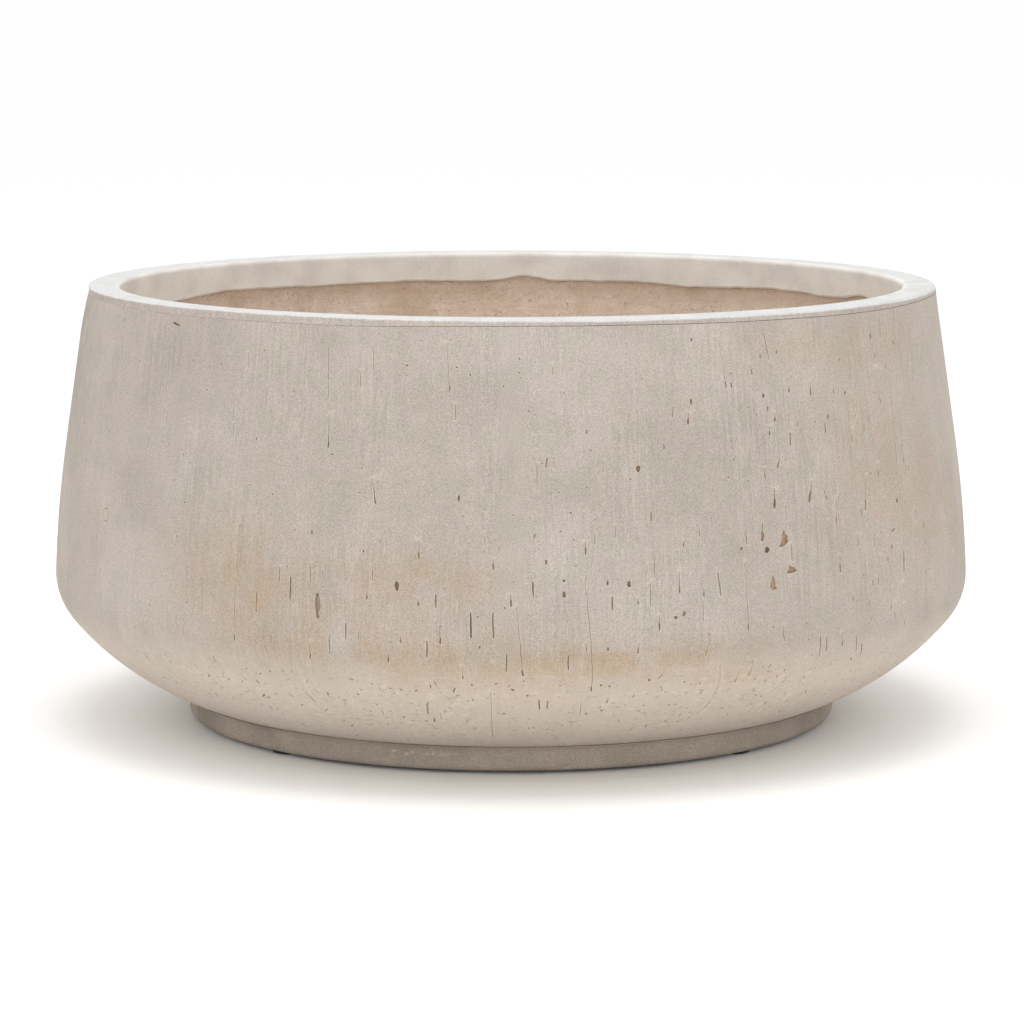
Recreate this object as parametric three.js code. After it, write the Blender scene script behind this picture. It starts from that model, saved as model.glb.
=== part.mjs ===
// A low, wide bowl planter in fibre-reinforced concrete.
// A cast face shell leans in towards the mouth above a rounded belly and tucks under to a low plinth ring.
// A raw fibre lining backs the shell, a pale trowelled rim caps both, and a plugged drain pierces the floor.
// Millimetres, +Z up. The origin is on the floor, on the bowl's axis.
import * as THREE from "three";

// The outer face
const bellyRadius = 300; // the widest point
const bellyHeight = 96; // of the widest point, above the plinth's underside
const bellyCurve = 41.5; // radius of the rounded belly in section
const undersideCurve = 177; // radius of the tuck between belly and plinth
const wallCurve = 856; // radius of the lower wall, which straightens as it rises
const wallLeanLow = THREE.MathUtils.degToRad(2.6); // lean where the wall leaves the belly
const wallLean = THREE.MathUtils.degToRad(8.5); // lean of the straight upper wall
const planterHeight = 283.5; // plinth's underside to the top of the rim

// The layers of the wall and floor
const shellThickness = 10;
const liningThickness = 8;
const bondGap = 0.3; // slurry bed between two bonded pieces

// The rim cap
const lipHeight = 4.5; // outer joint line to the top of the rim
const lipOuterRound = 2.6;
const lipInnerRound = 2.8;
const apronThickness = 3;
const apronDepth = 21; // top of the rim to the apron's hand-made lower edge
const apronEdgeChamfer = 1.2;
// Swells of the apron's lower edge: how high, about which bearing and how wide, in mm and degrees.
const apronSwells = [
  { rise: 4.2, bearing: 88, spread: 3.2 },
  { rise: 4.5, bearing: 22, spread: 4.5 },
  { rise: -2.6, bearing: 154, spread: 9 },
  { rise: -1.6, bearing: 34, spread: 5 },
  { rise: -1.4, bearing: 60, spread: 5 },
  { rise: 2.1, bearing: 236, spread: 12 },
  { rise: -2.3, bearing: 301, spread: 10 },
];
const apronRipple = 0.5;
const apronRipples = 11;

// The plinth ring
const footRadius = 213.5;
const footHeight = 15.3;
const footWidth = 26;
const footEdgeRound = 4.5;
const footInnerChamfer = 2;
const coveCurve = 5; // hollow fillet between plinth and underside
const coveLip = 0.6; // thickness of the fillet's outer edge

// The drain through the middle of the floor
const drainRadius = 12.5;
const sleeveWall = 2.5;
const sleeveClearance = 0.3; // sleeve to the holes in the floor
const sleeveDrop = 4; // drip edge below the shell
const sleeveFlangeRadius = 21;
const sleeveFlangeThickness = 2;
const plugClearance = 0.3;
const plugStemLength = 16;
const plugTaper = 1; // narrowing of the stem towards its foot
const plugFlangeRadius = 17.5;
const plugFlangeThickness = 3;
const plugNeckRadius = 4;
const plugNeckHeight = 8;
const plugKnobRadius = 7;
const plugKnobHeight = 5;
const plugEdgeRound = 1.2;

// The pads under the plinth
const padThickness = 2;
const padRadius = 9;
const padCount = 4;
const padFirstBearing = THREE.MathUtils.degToRad(45);

// How finely the round pieces are cut into flats
const flatsRound = 72;
const smallFlatsRound = 32;
const padFlatsRound = 24;
const undersideSteps = 7;
const bellySteps = 7;
const wallSteps = 4;
const roundSteps = 3;
const coveSteps = 4;

// Heights above the floor
const plinthBase = padThickness;
const shellBase = plinthBase + footHeight;
const rimTop = plinthBase + planterHeight;
const lipUnderside = rimTop - lipHeight;
const liningDepth = shellThickness + bondGap; // of the lining's outer face, inside the bowl's outer face
const liningFaceDepth = liningDepth + liningThickness;
const apronBackDepth = liningFaceDepth + bondGap;
const apronFaceDepth = apronBackDepth + apronThickness;
const floorTop = shellBase + liningFaceDepth;

const materials = {
  concrete: new THREE.MeshStandardMaterial({ color: 0xbfb2a4, roughness: 0.92, metalness: 0 }),
  rim: new THREE.MeshStandardMaterial({ color: 0xe2ddd7, roughness: 0.85, metalness: 0 }),
  lining: new THREE.MeshStandardMaterial({ color: 0xb9a08b, roughness: 0.97, metalness: 0 }),
  sleeve: new THREE.MeshStandardMaterial({ color: 0x8c8c8a, roughness: 0.5, metalness: 0 }),
  rubber: new THREE.MeshStandardMaterial({ color: 0x26262a, roughness: 0.8, metalness: 0 }),
};

const point = (radius, height) => new THREE.Vector2(radius, height);
const along = (centre, radius, angle) =>
  point(centre.x + radius * Math.cos(angle), centre.y + radius * Math.sin(angle));

// Points on an arc, both ends included.
function arc(centre, radius, from, to, steps) {
  return Array.from({ length: steps + 1 }, (_, i) => along(centre, radius, from + ((to - from) * i) / steps));
}

// The section's three tangent circles. The underside's circle touches the belly's and passes through the
// plinth's top edge, and the wall's touches the belly's where the wall leaves it.
const bellyCentre = point(bellyRadius - bellyCurve, plinthBase + bellyHeight);
const footEdge = point(footRadius, shellBase);
const undersideCentre = (() => {
  const reach = undersideCurve - bellyCurve;
  const chord = footEdge.clone().sub(bellyCentre);
  const span = chord.length();
  const run = (reach ** 2 - undersideCurve ** 2 + span ** 2) / (2 * span);
  const rise = Math.sqrt(reach ** 2 - run ** 2);
  const ahead = chord.clone().normalize();
  const aside = point(ahead.y, -ahead.x);
  return bellyCentre.clone().addScaledVector(ahead, run).addScaledVector(aside, rise);
})();
const bellyStart = Math.atan2(bellyCentre.y - undersideCentre.y, bellyCentre.x - undersideCentre.x);
const wallCentre = along(bellyCentre, bellyCurve - wallCurve, wallLeanLow);

// Radius of the straight upper wall at a height, a given depth inside the outer face.
function wallRadius(depth, height) {
  const start = along(wallCentre, wallCurve - depth, wallLean);
  return start.x - (height - start.y) * Math.tan(wallLean);
}

// Angle on the underside's circle where it crosses a height.
function undersideAngle(depth, height) {
  return -Math.asin((undersideCentre.y - height) / (undersideCurve - depth));
}

// One face of the bowl from its floor up, as the outer face moved in by a depth.
function bowlFace(depth, from, to) {
  const start = undersideAngle(depth, from);
  return [
    ...arc(undersideCentre, undersideCurve - depth, start, bellyStart, undersideSteps),
    ...arc(bellyCentre, bellyCurve - depth, bellyStart, 0, bellySteps).slice(1),
    ...arc(wallCentre, wallCurve - depth, wallLeanLow, wallLean, wallSteps),
    point(wallRadius(depth, to), to),
  ];
}

// A closed section turned about the bowl's axis, with its faces pointing out.
function turned(section, flats) {
  const outline = THREE.ShapeUtils.isClockWise(section) ? section.slice().reverse() : section.slice();
  const onAxis = outline.findIndex((p, i) => p.x === 0 && outline[(i + 1) % outline.length].x === 0);
  const ring = onAxis < 0 ? [...outline, outline[0].clone()] : rolled(outline, onAxis + 1);
  return new THREE.LatheGeometry(ring, flats).rotateX(Math.PI / 2);
}

// The same list, started further on, so that a section that touches the axis begins and ends there.
function rolled(list, start) {
  return [...list.slice(start), ...list.slice(0, start)];
}

function piece(name, geometry, material) {
  const mesh = new THREE.Mesh(geometry, material);
  mesh.name = name;
  return mesh;
}

// The cast face: wall, belly, underside and floor in one thickness.
function outerShell() {
  const hole = drainRadius + sleeveWall + sleeveClearance;
  const top = lipUnderside - bondGap;
  const section = [
    point(hole, shellBase),
    ...bowlFace(0, shellBase, top),
    ...bowlFace(shellThickness, shellBase + shellThickness, top).reverse(),
    point(hole, shellBase + shellThickness),
  ];
  return piece("outer_shell", turned(section, flatsRound), materials.concrete);
}

// The raw fibre-and-cement laminate laid up inside the shell.
function fibreLining() {
  const hole = drainRadius + sleeveWall + sleeveClearance;
  const top = lipUnderside - bondGap;
  const section = [
    point(hole, shellBase + liningDepth),
    ...bowlFace(liningDepth, shellBase + liningDepth, top),
    ...bowlFace(liningFaceDepth, floorTop, top).reverse(),
    point(hole, floorTop),
  ];
  return piece("fibre_lining", turned(section, flatsRound), materials.lining);
}

// How far the apron's lower edge stands above its nominal line, at a bearing in degrees.
function apronRise(bearing) {
  const swell = ({ rise, bearing: middle, spread }) => {
    const away = THREE.MathUtils.euclideanModulo(bearing - middle + 180, 360) - 180;
    return rise * Math.exp(-((away / spread) ** 2));
  };
  const ripple = apronRipple * Math.sin(THREE.MathUtils.degToRad(bearing * apronRipples));
  return apronSwells.reduce((sum, each) => sum + swell(each), ripple);
}

// The pale rim: a flat lip over both walls and an apron down the inside, trowelled off by hand.
function rimCap() {
  const apronFoot = rimTop - apronDepth;
  const faceFoot = apronFoot + apronEdgeChamfer;
  const outerRoundHeight = rimTop - lipOuterRound;
  const innerRoundHeight = rimTop - lipInnerRound;
  const outerCentre = point(wallRadius(lipOuterRound, outerRoundHeight), outerRoundHeight);
  const innerCentre = point(wallRadius(apronFaceDepth - lipInnerRound, innerRoundHeight), innerRoundHeight);
  const section = [
    point(wallRadius(apronBackDepth, apronFoot), apronFoot),
    point(wallRadius(apronBackDepth, lipUnderside), lipUnderside),
    point(wallRadius(0, lipUnderside), lipUnderside),
    ...arc(outerCentre, lipOuterRound, wallLean, Math.PI / 2, roundSteps),
    ...arc(innerCentre, lipInnerRound, Math.PI / 2, Math.PI + wallLean, roundSteps),
    point(wallRadius(apronFaceDepth, faceFoot), faceFoot),
    point(wallRadius(apronFaceDepth - apronEdgeChamfer, apronFoot), apronFoot),
  ];
  const geometry = turned(section, flatsRound);
  const position = geometry.attributes.position;
  for (let i = 0; i < position.count; i++) {
    const [x, y, z] = [position.getX(i), position.getY(i), position.getZ(i)];
    if (z > (faceFoot + lipUnderside) / 2) continue; // only the lower edge is ragged
    const rise = apronRise(THREE.MathUtils.radToDeg(Math.atan2(y, x)));
    const radius = Math.hypot(x, y);
    const scale = (radius - rise * Math.tan(wallLean)) / radius;
    position.setXYZ(i, x * scale, y * scale, z + rise);
  }
  return piece("rim_cap", geometry, materials.rim);
}

// The low ring that the bowl stands on, with a hollow fillet up to the underside.
function plinthRing() {
  const inner = footRadius - footWidth;
  const tuck = Math.PI / 2 + undersideAngle(0, shellBase); // the underside's slope at the plinth
  const reach = footRadius + coveCurve * (1 - Math.sin(tuck));
  const topAt = (radius) =>
    undersideCentre.y - Math.sqrt(undersideCurve ** 2 - (radius - undersideCentre.x) ** 2) - bondGap;
  const coveCentre = point(footRadius + coveCurve, topAt(reach) - coveLip - coveCurve * Math.cos(tuck));
  const section = [
    point(inner, plinthBase + footInnerChamfer),
    point(inner + footInnerChamfer, plinthBase),
    ...arc(
      point(footRadius - footEdgeRound, plinthBase + footEdgeRound),
      footEdgeRound,
      -Math.PI / 2,
      0,
      roundSteps,
    ),
    ...arc(coveCentre, coveCurve, Math.PI, Math.PI / 2 + tuck, coveSteps),
    point(reach, topAt(reach)),
    point(footRadius, shellBase - bondGap),
    point(inner, shellBase - bondGap),
  ];
  return piece("plinth_ring", turned(section, flatsRound), materials.concrete);
}

// The plastic tube cast through the floor, with a flange above and a drip edge below.
function drainSleeve() {
  const outer = drainRadius + sleeveWall;
  const flangeUnderside = floorTop + bondGap;
  const flangeTop = flangeUnderside + sleeveFlangeThickness;
  const section = [
    point(drainRadius, shellBase - sleeveDrop),
    point(outer, shellBase - sleeveDrop),
    point(outer, flangeUnderside),
    point(sleeveFlangeRadius, flangeUnderside),
    point(sleeveFlangeRadius, flangeTop),
    point(drainRadius, flangeTop),
  ];
  return piece("drain_sleeve", turned(section, smallFlatsRound), materials.sleeve);
}

// The rubber plug: a tapered stem in the sleeve, a flange that seals on it and a knob to pull.
function drainPlug() {
  const stem = drainRadius - plugClearance;
  const flangeUnderside = floorTop + bondGap + sleeveFlangeThickness + plugClearance;
  const flangeTop = flangeUnderside + plugFlangeThickness;
  const knobUnderside = flangeTop + plugNeckHeight;
  const knobTop = knobUnderside + plugKnobHeight;
  const section = [
    point(0, flangeUnderside - plugStemLength),
    point(stem - plugTaper, flangeUnderside - plugStemLength),
    point(stem, flangeUnderside),
    point(plugFlangeRadius, flangeUnderside),
    ...arc(
      point(plugFlangeRadius - plugEdgeRound, flangeTop - plugEdgeRound),
      plugEdgeRound,
      0,
      Math.PI / 2,
      roundSteps,
    ),
    point(plugNeckRadius, flangeTop),
    point(plugNeckRadius, knobUnderside),
    point(plugKnobRadius, knobUnderside),
    ...arc(
      point(plugKnobRadius - plugEdgeRound, knobTop - plugEdgeRound),
      plugEdgeRound,
      0,
      Math.PI / 2,
      roundSteps,
    ),
    point(0, knobTop),
  ];
  return piece("drain_plug", turned(section, smallFlatsRound), materials.rubber);
}

// One of the rubber pads that keep the plinth off the floor.
function footPad(index) {
  const flatMiddle = footRadius - (footWidth + footEdgeRound - footInnerChamfer) / 2;
  const bearing = padFirstBearing + (index * 2 * Math.PI) / padCount;
  const geometry = new THREE.CylinderGeometry(padRadius, padRadius, padThickness, padFlatsRound);
  const pad = piece("foot_pad_" + (index + 1), geometry.rotateX(Math.PI / 2), materials.rubber);
  pad.position.set(flatMiddle * Math.cos(bearing), flatMiddle * Math.sin(bearing), padThickness / 2);
  return pad;
}

const planter = new THREE.Group();
planter.add(outerShell(), fibreLining(), rimCap(), plinthRing(), drainSleeve(), drainPlug());
for (let i = 0; i < padCount; i++) planter.add(footPad(i));

export default planter;
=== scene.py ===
# A low, wide bowl planter in fibre-reinforced concrete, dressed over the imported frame.
# Sizes are in millimetres until a mesh is made, heights are above the floor, and bearings are in degrees.
import math
import random

import bpy
import numpy as np
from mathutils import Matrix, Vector
from mathutils.geometry import delaunay_2d_cdt


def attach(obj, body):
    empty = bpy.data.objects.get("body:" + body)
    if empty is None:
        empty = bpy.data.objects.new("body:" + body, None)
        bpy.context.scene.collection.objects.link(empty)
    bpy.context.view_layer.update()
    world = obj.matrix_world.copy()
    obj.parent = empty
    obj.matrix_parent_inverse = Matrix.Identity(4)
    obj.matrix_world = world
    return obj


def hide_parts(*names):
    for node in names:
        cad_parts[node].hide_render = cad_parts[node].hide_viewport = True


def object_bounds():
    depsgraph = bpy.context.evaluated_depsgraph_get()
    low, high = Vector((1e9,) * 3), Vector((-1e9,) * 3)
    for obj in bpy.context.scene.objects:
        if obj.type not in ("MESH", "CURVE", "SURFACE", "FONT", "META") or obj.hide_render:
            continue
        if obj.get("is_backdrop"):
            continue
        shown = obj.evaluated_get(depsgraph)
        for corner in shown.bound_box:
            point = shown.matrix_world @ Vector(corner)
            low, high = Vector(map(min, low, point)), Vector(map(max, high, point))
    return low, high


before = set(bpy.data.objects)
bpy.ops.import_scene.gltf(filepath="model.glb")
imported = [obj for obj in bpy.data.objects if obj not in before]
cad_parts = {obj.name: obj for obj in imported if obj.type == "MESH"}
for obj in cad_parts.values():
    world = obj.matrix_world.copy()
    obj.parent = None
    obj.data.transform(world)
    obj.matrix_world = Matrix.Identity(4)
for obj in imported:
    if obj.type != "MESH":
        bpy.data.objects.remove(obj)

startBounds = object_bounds()
mm = 0.001
turn = 2 * math.pi

# The driving dimensions that the pieces share.
bowl = {
    "bellyRadius": 300.0,
    "bellyHeight": 98.0,
    "bellyCurve": 41.5,
    "undersideCurve": 177.0,
    "wallCurve": 856.0,
    "wallLeanLow": math.radians(2.6),
    "wallLean": math.radians(8.5),
    "footRadius": 213.5,
    "padHeight": 2.0,
    "shellBase": 17.3,
    "rimTop": 285.5,
    "lipHeight": 4.5,
    "bond": 0.3,
    "flats": 288,
}
lipFoot = bowl["rimTop"] - bowl["lipHeight"]
shellTop = lipFoot - bowl["bond"]


def point(radius, height):
    return np.array([radius, height], float)


def along(centre, radius, angle):
    return centre + radius * point(math.cos(angle), math.sin(angle))


def arc(centre, radius, start, end, step):
    count = max(2, math.ceil(abs(end - start) * radius / step))
    return [along(centre, radius, start + (end - start) * i / count) for i in range(count + 1)]


def straight(start, end, step):
    count = max(1, math.ceil(np.linalg.norm(end - start) / step))
    return [start + (end - start) * i / count for i in range(count + 1)]


def lengths(section):
    steps = np.linalg.norm(np.diff(np.array(section), axis=0), axis=1)
    return np.concatenate([[0], np.cumsum(steps)])


# The outer face is three tangent arcs and a straight upper wall.
def undersideMiddle():
    curve = bowl["undersideCurve"]
    reach = curve - bowl["bellyCurve"]
    chord = point(bowl["footRadius"], bowl["shellBase"]) - bellyMiddle
    span = np.linalg.norm(chord)
    run = (reach**2 - curve**2 + span**2) / (2 * span)
    ahead = chord / span
    return bellyMiddle + ahead * run + point(ahead[1], -ahead[0]) * math.sqrt(reach**2 - run**2)


bellyMiddle = point(bowl["bellyRadius"] - bowl["bellyCurve"], bowl["bellyHeight"])
undersideCentre = undersideMiddle()
bellyStart = math.atan2(*(bellyMiddle - undersideCentre)[::-1])
wallMiddle = along(bellyMiddle, bowl["bellyCurve"] - bowl["wallCurve"], bowl["wallLeanLow"])


def wallRadius(depth, height):
    start = along(wallMiddle, bowl["wallCurve"] - depth, bowl["wallLean"])
    return start[0] - (height - start[1]) * math.tan(bowl["wallLean"])


# The point of the wall's slope at a depth behind its outer face.
def onWall(depth, height):
    return point(wallRadius(depth, height), height)


def bowlFace(depth, low, high, step):
    under, belly, wall = (bowl[part] - depth for part in ("undersideCurve", "bellyCurve", "wallCurve"))
    start = -math.asin((undersideCentre[1] - low) / under)
    return [
        *arc(undersideCentre, under, start, bellyStart, step),
        *arc(bellyMiddle, belly, bellyStart, bowl["wallLeanLow"], step)[1:],
        *arc(wallMiddle, wall, bowl["wallLeanLow"], bowl["wallLean"], step)[1:],
        *straight(along(wallMiddle, wall, bowl["wallLean"]), onWall(depth, high), step)[1:],
    ]


def awayFrom(bearing, middle):
    return (bearing - middle + 180) % 360 - 180


# A soft hump round a bearing: 1 at its middle, fading out over its spread.
def hump(bearing, middle, spread):
    return np.exp(-((awayFrom(bearing, middle) / spread) ** 2))


# A node tree, with short ways to add nodes and sums to it.
class Nodes:
    def __init__(self, tree):
        self.tree = tree

    def feed(self, socket, value):
        if isinstance(value, bpy.types.NodeSocket):
            self.tree.links.new(value, socket)
        else:
            socket.default_value = value

    def add(self, kind, inputs=None, **settings):
        made = self.tree.nodes.new(kind)
        for name, value in settings.items():
            setattr(made, name, value)
        for name, value in (inputs or {}).items():
            self.feed(made.inputs[name], value)
        return made

    def out(self, kind, inputs=None, **settings):
        return self.add(kind, inputs, **settings).outputs[0]

    def calc(self, operation, *values):
        return self.out("ShaderNodeMath", dict(enumerate(values)), operation=operation)

    def plus(self, first, second):
        return self.calc("ADD", first, second)

    def minus(self, first, second):
        return self.calc("SUBTRACT", first, second)

    def times(self, first, second):
        return self.calc("MULTIPLY", first, second)

    def vector(self, x, y, z):
        return self.out("ShaderNodeCombineXYZ", {"X": x, "Y": y, "Z": z})

    def parts(self, vector):
        return self.add("ShaderNodeSeparateXYZ", {0: vector}).outputs


# A geometry tree with named inputs. It ends in creased smooth shading, real geometry and its material.
class GrowTree(Nodes):
    def __init__(self, name, sockets):
        super().__init__(bpy.data.node_groups.new(name, "GeometryNodeTree"))
        self.tree.interface.new_socket("Geometry", in_out="OUTPUT", socket_type="NodeSocketGeometry")
        for label, kind in {**sockets, "Crease": "Float", "Finish": "Material"}.items():
            self.tree.interface.new_socket(label, in_out="INPUT", socket_type="NodeSocket" + kind)
        self.given = self.add("NodeGroupInput").outputs

    def shape(self, label):
        return self.add("GeometryNodeObjectInfo", {"Object": self.given[label]}).outputs["Geometry"]

    def place(self):
        return self.parts(self.out("GeometryNodeInputPosition"))

    def attribute(self, name):
        return self.out("GeometryNodeInputNamedAttribute", {"Name": name}, data_type="FLOAT")

    def move(self, geometry, position):
        return self.out("GeometryNodeSetPosition", {"Geometry": geometry, "Position": position})

    def circle(self, segments, radius):
        inputs = {"Resolution": segments, "Radius": radius}
        return self.out("GeometryNodeCurvePrimitiveCircle", inputs, mode="RADIUS")

    def weld(self, geometry, distance):
        return self.out("GeometryNodeMergeByDistance", {"Geometry": geometry, "Distance": distance})

    def end(self, geometry):
        angle = self.add("GeometryNodeInputMeshEdgeAngle").outputs["Unsigned Angle"]
        sharp = self.calc("GREATER_THAN", angle, self.given["Crease"])
        smooth = self.out("GeometryNodeSetShadeSmooth", {"Geometry": geometry}, domain="FACE")
        edges = {"Geometry": smooth, "Selection": sharp, "Shade Smooth": False}
        creased = self.out("GeometryNodeSetShadeSmooth", edges, domain="EDGE")
        real = self.out("GeometryNodeRealizeInstances", {"Geometry": creased})
        dressed = self.out("GeometryNodeSetMaterial", {"Geometry": real, "Material": self.given["Finish"]})
        self.add("NodeGroupOutput", {"Geometry": dressed})
        return self.tree


def linked(name, data):
    made = bpy.data.objects.new(name, data)
    bpy.context.scene.collection.objects.link(made)
    return made


# Runs a tree with these inputs and keeps its result as a plain mesh object.
def grow(name, tree, values):
    host = linked(name + " rig", bpy.data.meshes.new(name + " rig"))
    modifier = host.modifiers.new("grow", "NODES")
    modifier.node_group = tree
    for item in tree.interface.items_tree:
        if item.in_out == "INPUT":
            modifier[item.identifier] = values[item.name]
    bpy.context.view_layer.update()
    mesh = bpy.data.meshes.new_from_object(host.evaluated_get(bpy.context.evaluated_depsgraph_get()))
    bpy.data.objects.remove(host)
    mesh.name = name
    print("made", name, len(mesh.vertices), "points", len(mesh.polygons), "faces")
    return linked(name, mesh)


def meshObject(name, verts, edges=(), faces=(), floats=None):
    mesh = bpy.data.meshes.new(name)
    mesh.from_pydata([tuple(v) for v in verts], [tuple(e) for e in edges], [tuple(f) for f in faces])
    for label, values in (floats or {}).items():
        mesh.attributes.new(label, "FLOAT", "POINT").data.foreach_set("value", np.asarray(values, np.float32))
    return linked(name, mesh)


# A section as an open or closed run of edges in the XZ plane, in metres.
def sectionObject(name, section, closed):
    verts = [(p[0] * mm, 0, p[1] * mm) for p in section]
    edges = [(i, i + 1) for i in range(len(verts) - 1)]
    if closed:
        edges.append((len(verts) - 1, 0))
    return meshObject(name, verts, edges)


# Turns a section about the bowl's axis, along a tiny circle whose radius is taken off the section's.
def turnTree():
    tree = GrowTree("turnSection", {"Section": "Object", "Segments": "Int", "Weld": "Float"})
    pathRadius = 0.001
    place = tree.place()
    flat = tree.vector(tree.minus(place["X"], pathRadius), tree.times(place["Z"], -1.0), 0.0)
    profile = tree.out("GeometryNodeMeshToCurve", {"Mesh": tree.move(tree.shape("Section"), flat)})
    path = tree.circle(tree.given["Segments"], pathRadius)
    swept = tree.out("GeometryNodeCurveToMesh", {"Curve": path, "Profile Curve": profile})
    return tree.end(tree.weld(swept, tree.given["Weld"]))


# A wrapped piece's finish is spread at a steady radius on the wall, and a truer one on the floor.
finishSpread = {"onWall": 0.28, "onFloor": 1.25}
weldDistance = 0.00001


# Wraps a flat sheet round the bowl: across it is the bearing in radians, up it the distance along the section.
# "inset" sinks a point below the face, "worn" draws it level inwards, "rise" lifts it up the lean of the wall,
# and "loose" says how uneven it may be.
def wrapTree():
    numbers = {label: "Float" for label in ("Unevenness", "Swell", "Lean", "Seed")}
    tree = GrowTree("wrapSheet", {"Sheet": "Object", "Section": "Object", **numbers})
    profile = tree.out("GeometryNodeMeshToCurve", {"Mesh": tree.shape("Section")})
    flat = tree.place()
    sample = tree.add("GeometryNodeSampleCurve", {"Curves": profile, "Length": flat["Y"]}, mode="LENGTH")
    place = tree.parts(sample.outputs["Position"])
    ahead = tree.parts(sample.outputs["Tangent"])
    across = tree.calc("COSINE", flat["X"])
    aside = tree.calc("SINE", flat["X"])
    spread = tree.calc("MINIMUM", tree.times(place["X"], finishSpread["onFloor"]), finishSpread["onWall"])
    facePlace = tree.vector(tree.times(across, spread), tree.times(aside, spread), flat["Y"])
    noted = tree.out(
        "GeometryNodeStoreNamedAttribute",
        {"Geometry": tree.shape("Sheet"), "Name": "facePlace", "Value": facePlace},
        data_type="FLOAT_VECTOR",
        domain="POINT",
    )
    # Gentle hand-cast unevenness only ever sinks the face.
    swell = tree.out(
        "ShaderNodeTexNoise",
        {"Vector": facePlace, "W": tree.given["Seed"], "Scale": tree.given["Swell"], "Detail": 2.0},
        noise_dimensions="4D",
    )
    sunk = tree.times(tree.times(swell, tree.given["Unevenness"]), tree.attribute("loose"))
    depth = tree.plus(tree.attribute("inset"), sunk)
    rise = tree.attribute("rise")
    radius = tree.minus(place["X"], tree.times(depth, ahead["Z"]))
    radius = tree.minus(radius, tree.times(rise, tree.given["Lean"]))
    radius = tree.minus(radius, tree.attribute("worn"))
    height = tree.plus(tree.plus(place["Z"], tree.times(depth, ahead["X"])), rise)
    wrapped = tree.move(noted, tree.vector(tree.times(radius, across), tree.times(radius, aside), height))
    return tree.end(tree.weld(wrapped, weldDistance))


def colour(red, green, blue):
    linear = [c / 255 / 12.92 if c <= 10 else ((c / 255 + 0.055) / 1.055) ** 2.4 for c in (red, green, blue)]
    return (*linear, 1.0)


# A cloud pattern: its scale and detail, where it starts and where it is full, and how strongly it is laid on.
def pattern(scale, detail, start, full, share=1.0, seed=0.0, stretch=(1, 1, 1), roughness=0.5):
    return locals()


# A material with short ways to lay one colour of its look over another.
class Paint(Nodes):
    def __init__(self, name, look, place="Object"):
        self.material = bpy.data.materials.new(name)
        self.material.use_nodes = True
        super().__init__(self.material.node_tree)
        self.look = look
        self.shader = self.tree.nodes["Principled BSDF"].inputs
        self.shader["Roughness"].default_value = look["roughness"]
        self.shader["Specular IOR Level"].default_value = 0.3
        self.solid = self.add("ShaderNodeTexCoord").outputs["Object"]
        self.place = self.solid if place == "Object" else self.mesh(place, "Vector")

    def mesh(self, name, output="Fac"):
        return self.add("ShaderNodeAttribute", attribute_name=name).outputs[output]

    def step(self, value, start, full, **settings):
        ends = {"Value": value, "From Min": start, "From Max": full, "To Min": 0.0, "To Max": 1.0}
        return self.out("ShaderNodeMapRange", ends, **settings)

    def cloud(self, name, place=None):
        given = self.look[name]
        moved = self.out(
            "ShaderNodeMapping",
            {"Vector": place or self.place, "Location": (given["seed"],) * 3, "Scale": given["stretch"]},
        )
        noise = {"Vector": moved, "Scale": given["scale"], "Detail": given["detail"]}
        grown = self.out("ShaderNodeTexNoise", {**noise, "Roughness": given["roughness"]})
        return self.step(grown, given["start"], given["full"], interpolation_type="SMOOTHSTEP")

    def blend(self, factor, first, second, mode="MIX"):
        made = self.add("ShaderNodeMix", data_type="RGBA", blend_type=mode)
        for index, value in ((0, factor), (6, first), (7, second)):
            self.feed(made.inputs[index], value)
        return made.outputs[2]

    # Sets the base to a mix of two of the look's colours.
    def ground(self, factor, first, second):
        self.base = self.blend(factor, self.look[first], self.look[second])

    # Lays a colour over the base, by an amount and a share of it.
    def tint(self, shade, amount, share):
        self.base = self.blend(self.times(amount, share), self.base, self.look[shade])

    # Lays a colour over the base in one of the look's clouds.
    def wash(self, shade, name, place=None):
        self.tint(shade, self.cloud(name, place), self.look[name]["share"])

    # Lightens and darkens the base by a grey value.
    def overlay(self, share, value):
        grey = self.out("ShaderNodeCombineColor", {"Red": value, "Green": value, "Blue": value})
        self.base = self.blend(share, self.base, grey, "OVERLAY")

    def end(self, height, strength, distance):
        bump = self.out("ShaderNodeBump", {"Height": height, "Strength": strength, "Distance": distance})
        self.feed(self.shader["Base Color"], self.base)
        self.feed(self.shader["Normal"], bump)
        return self.material


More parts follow.
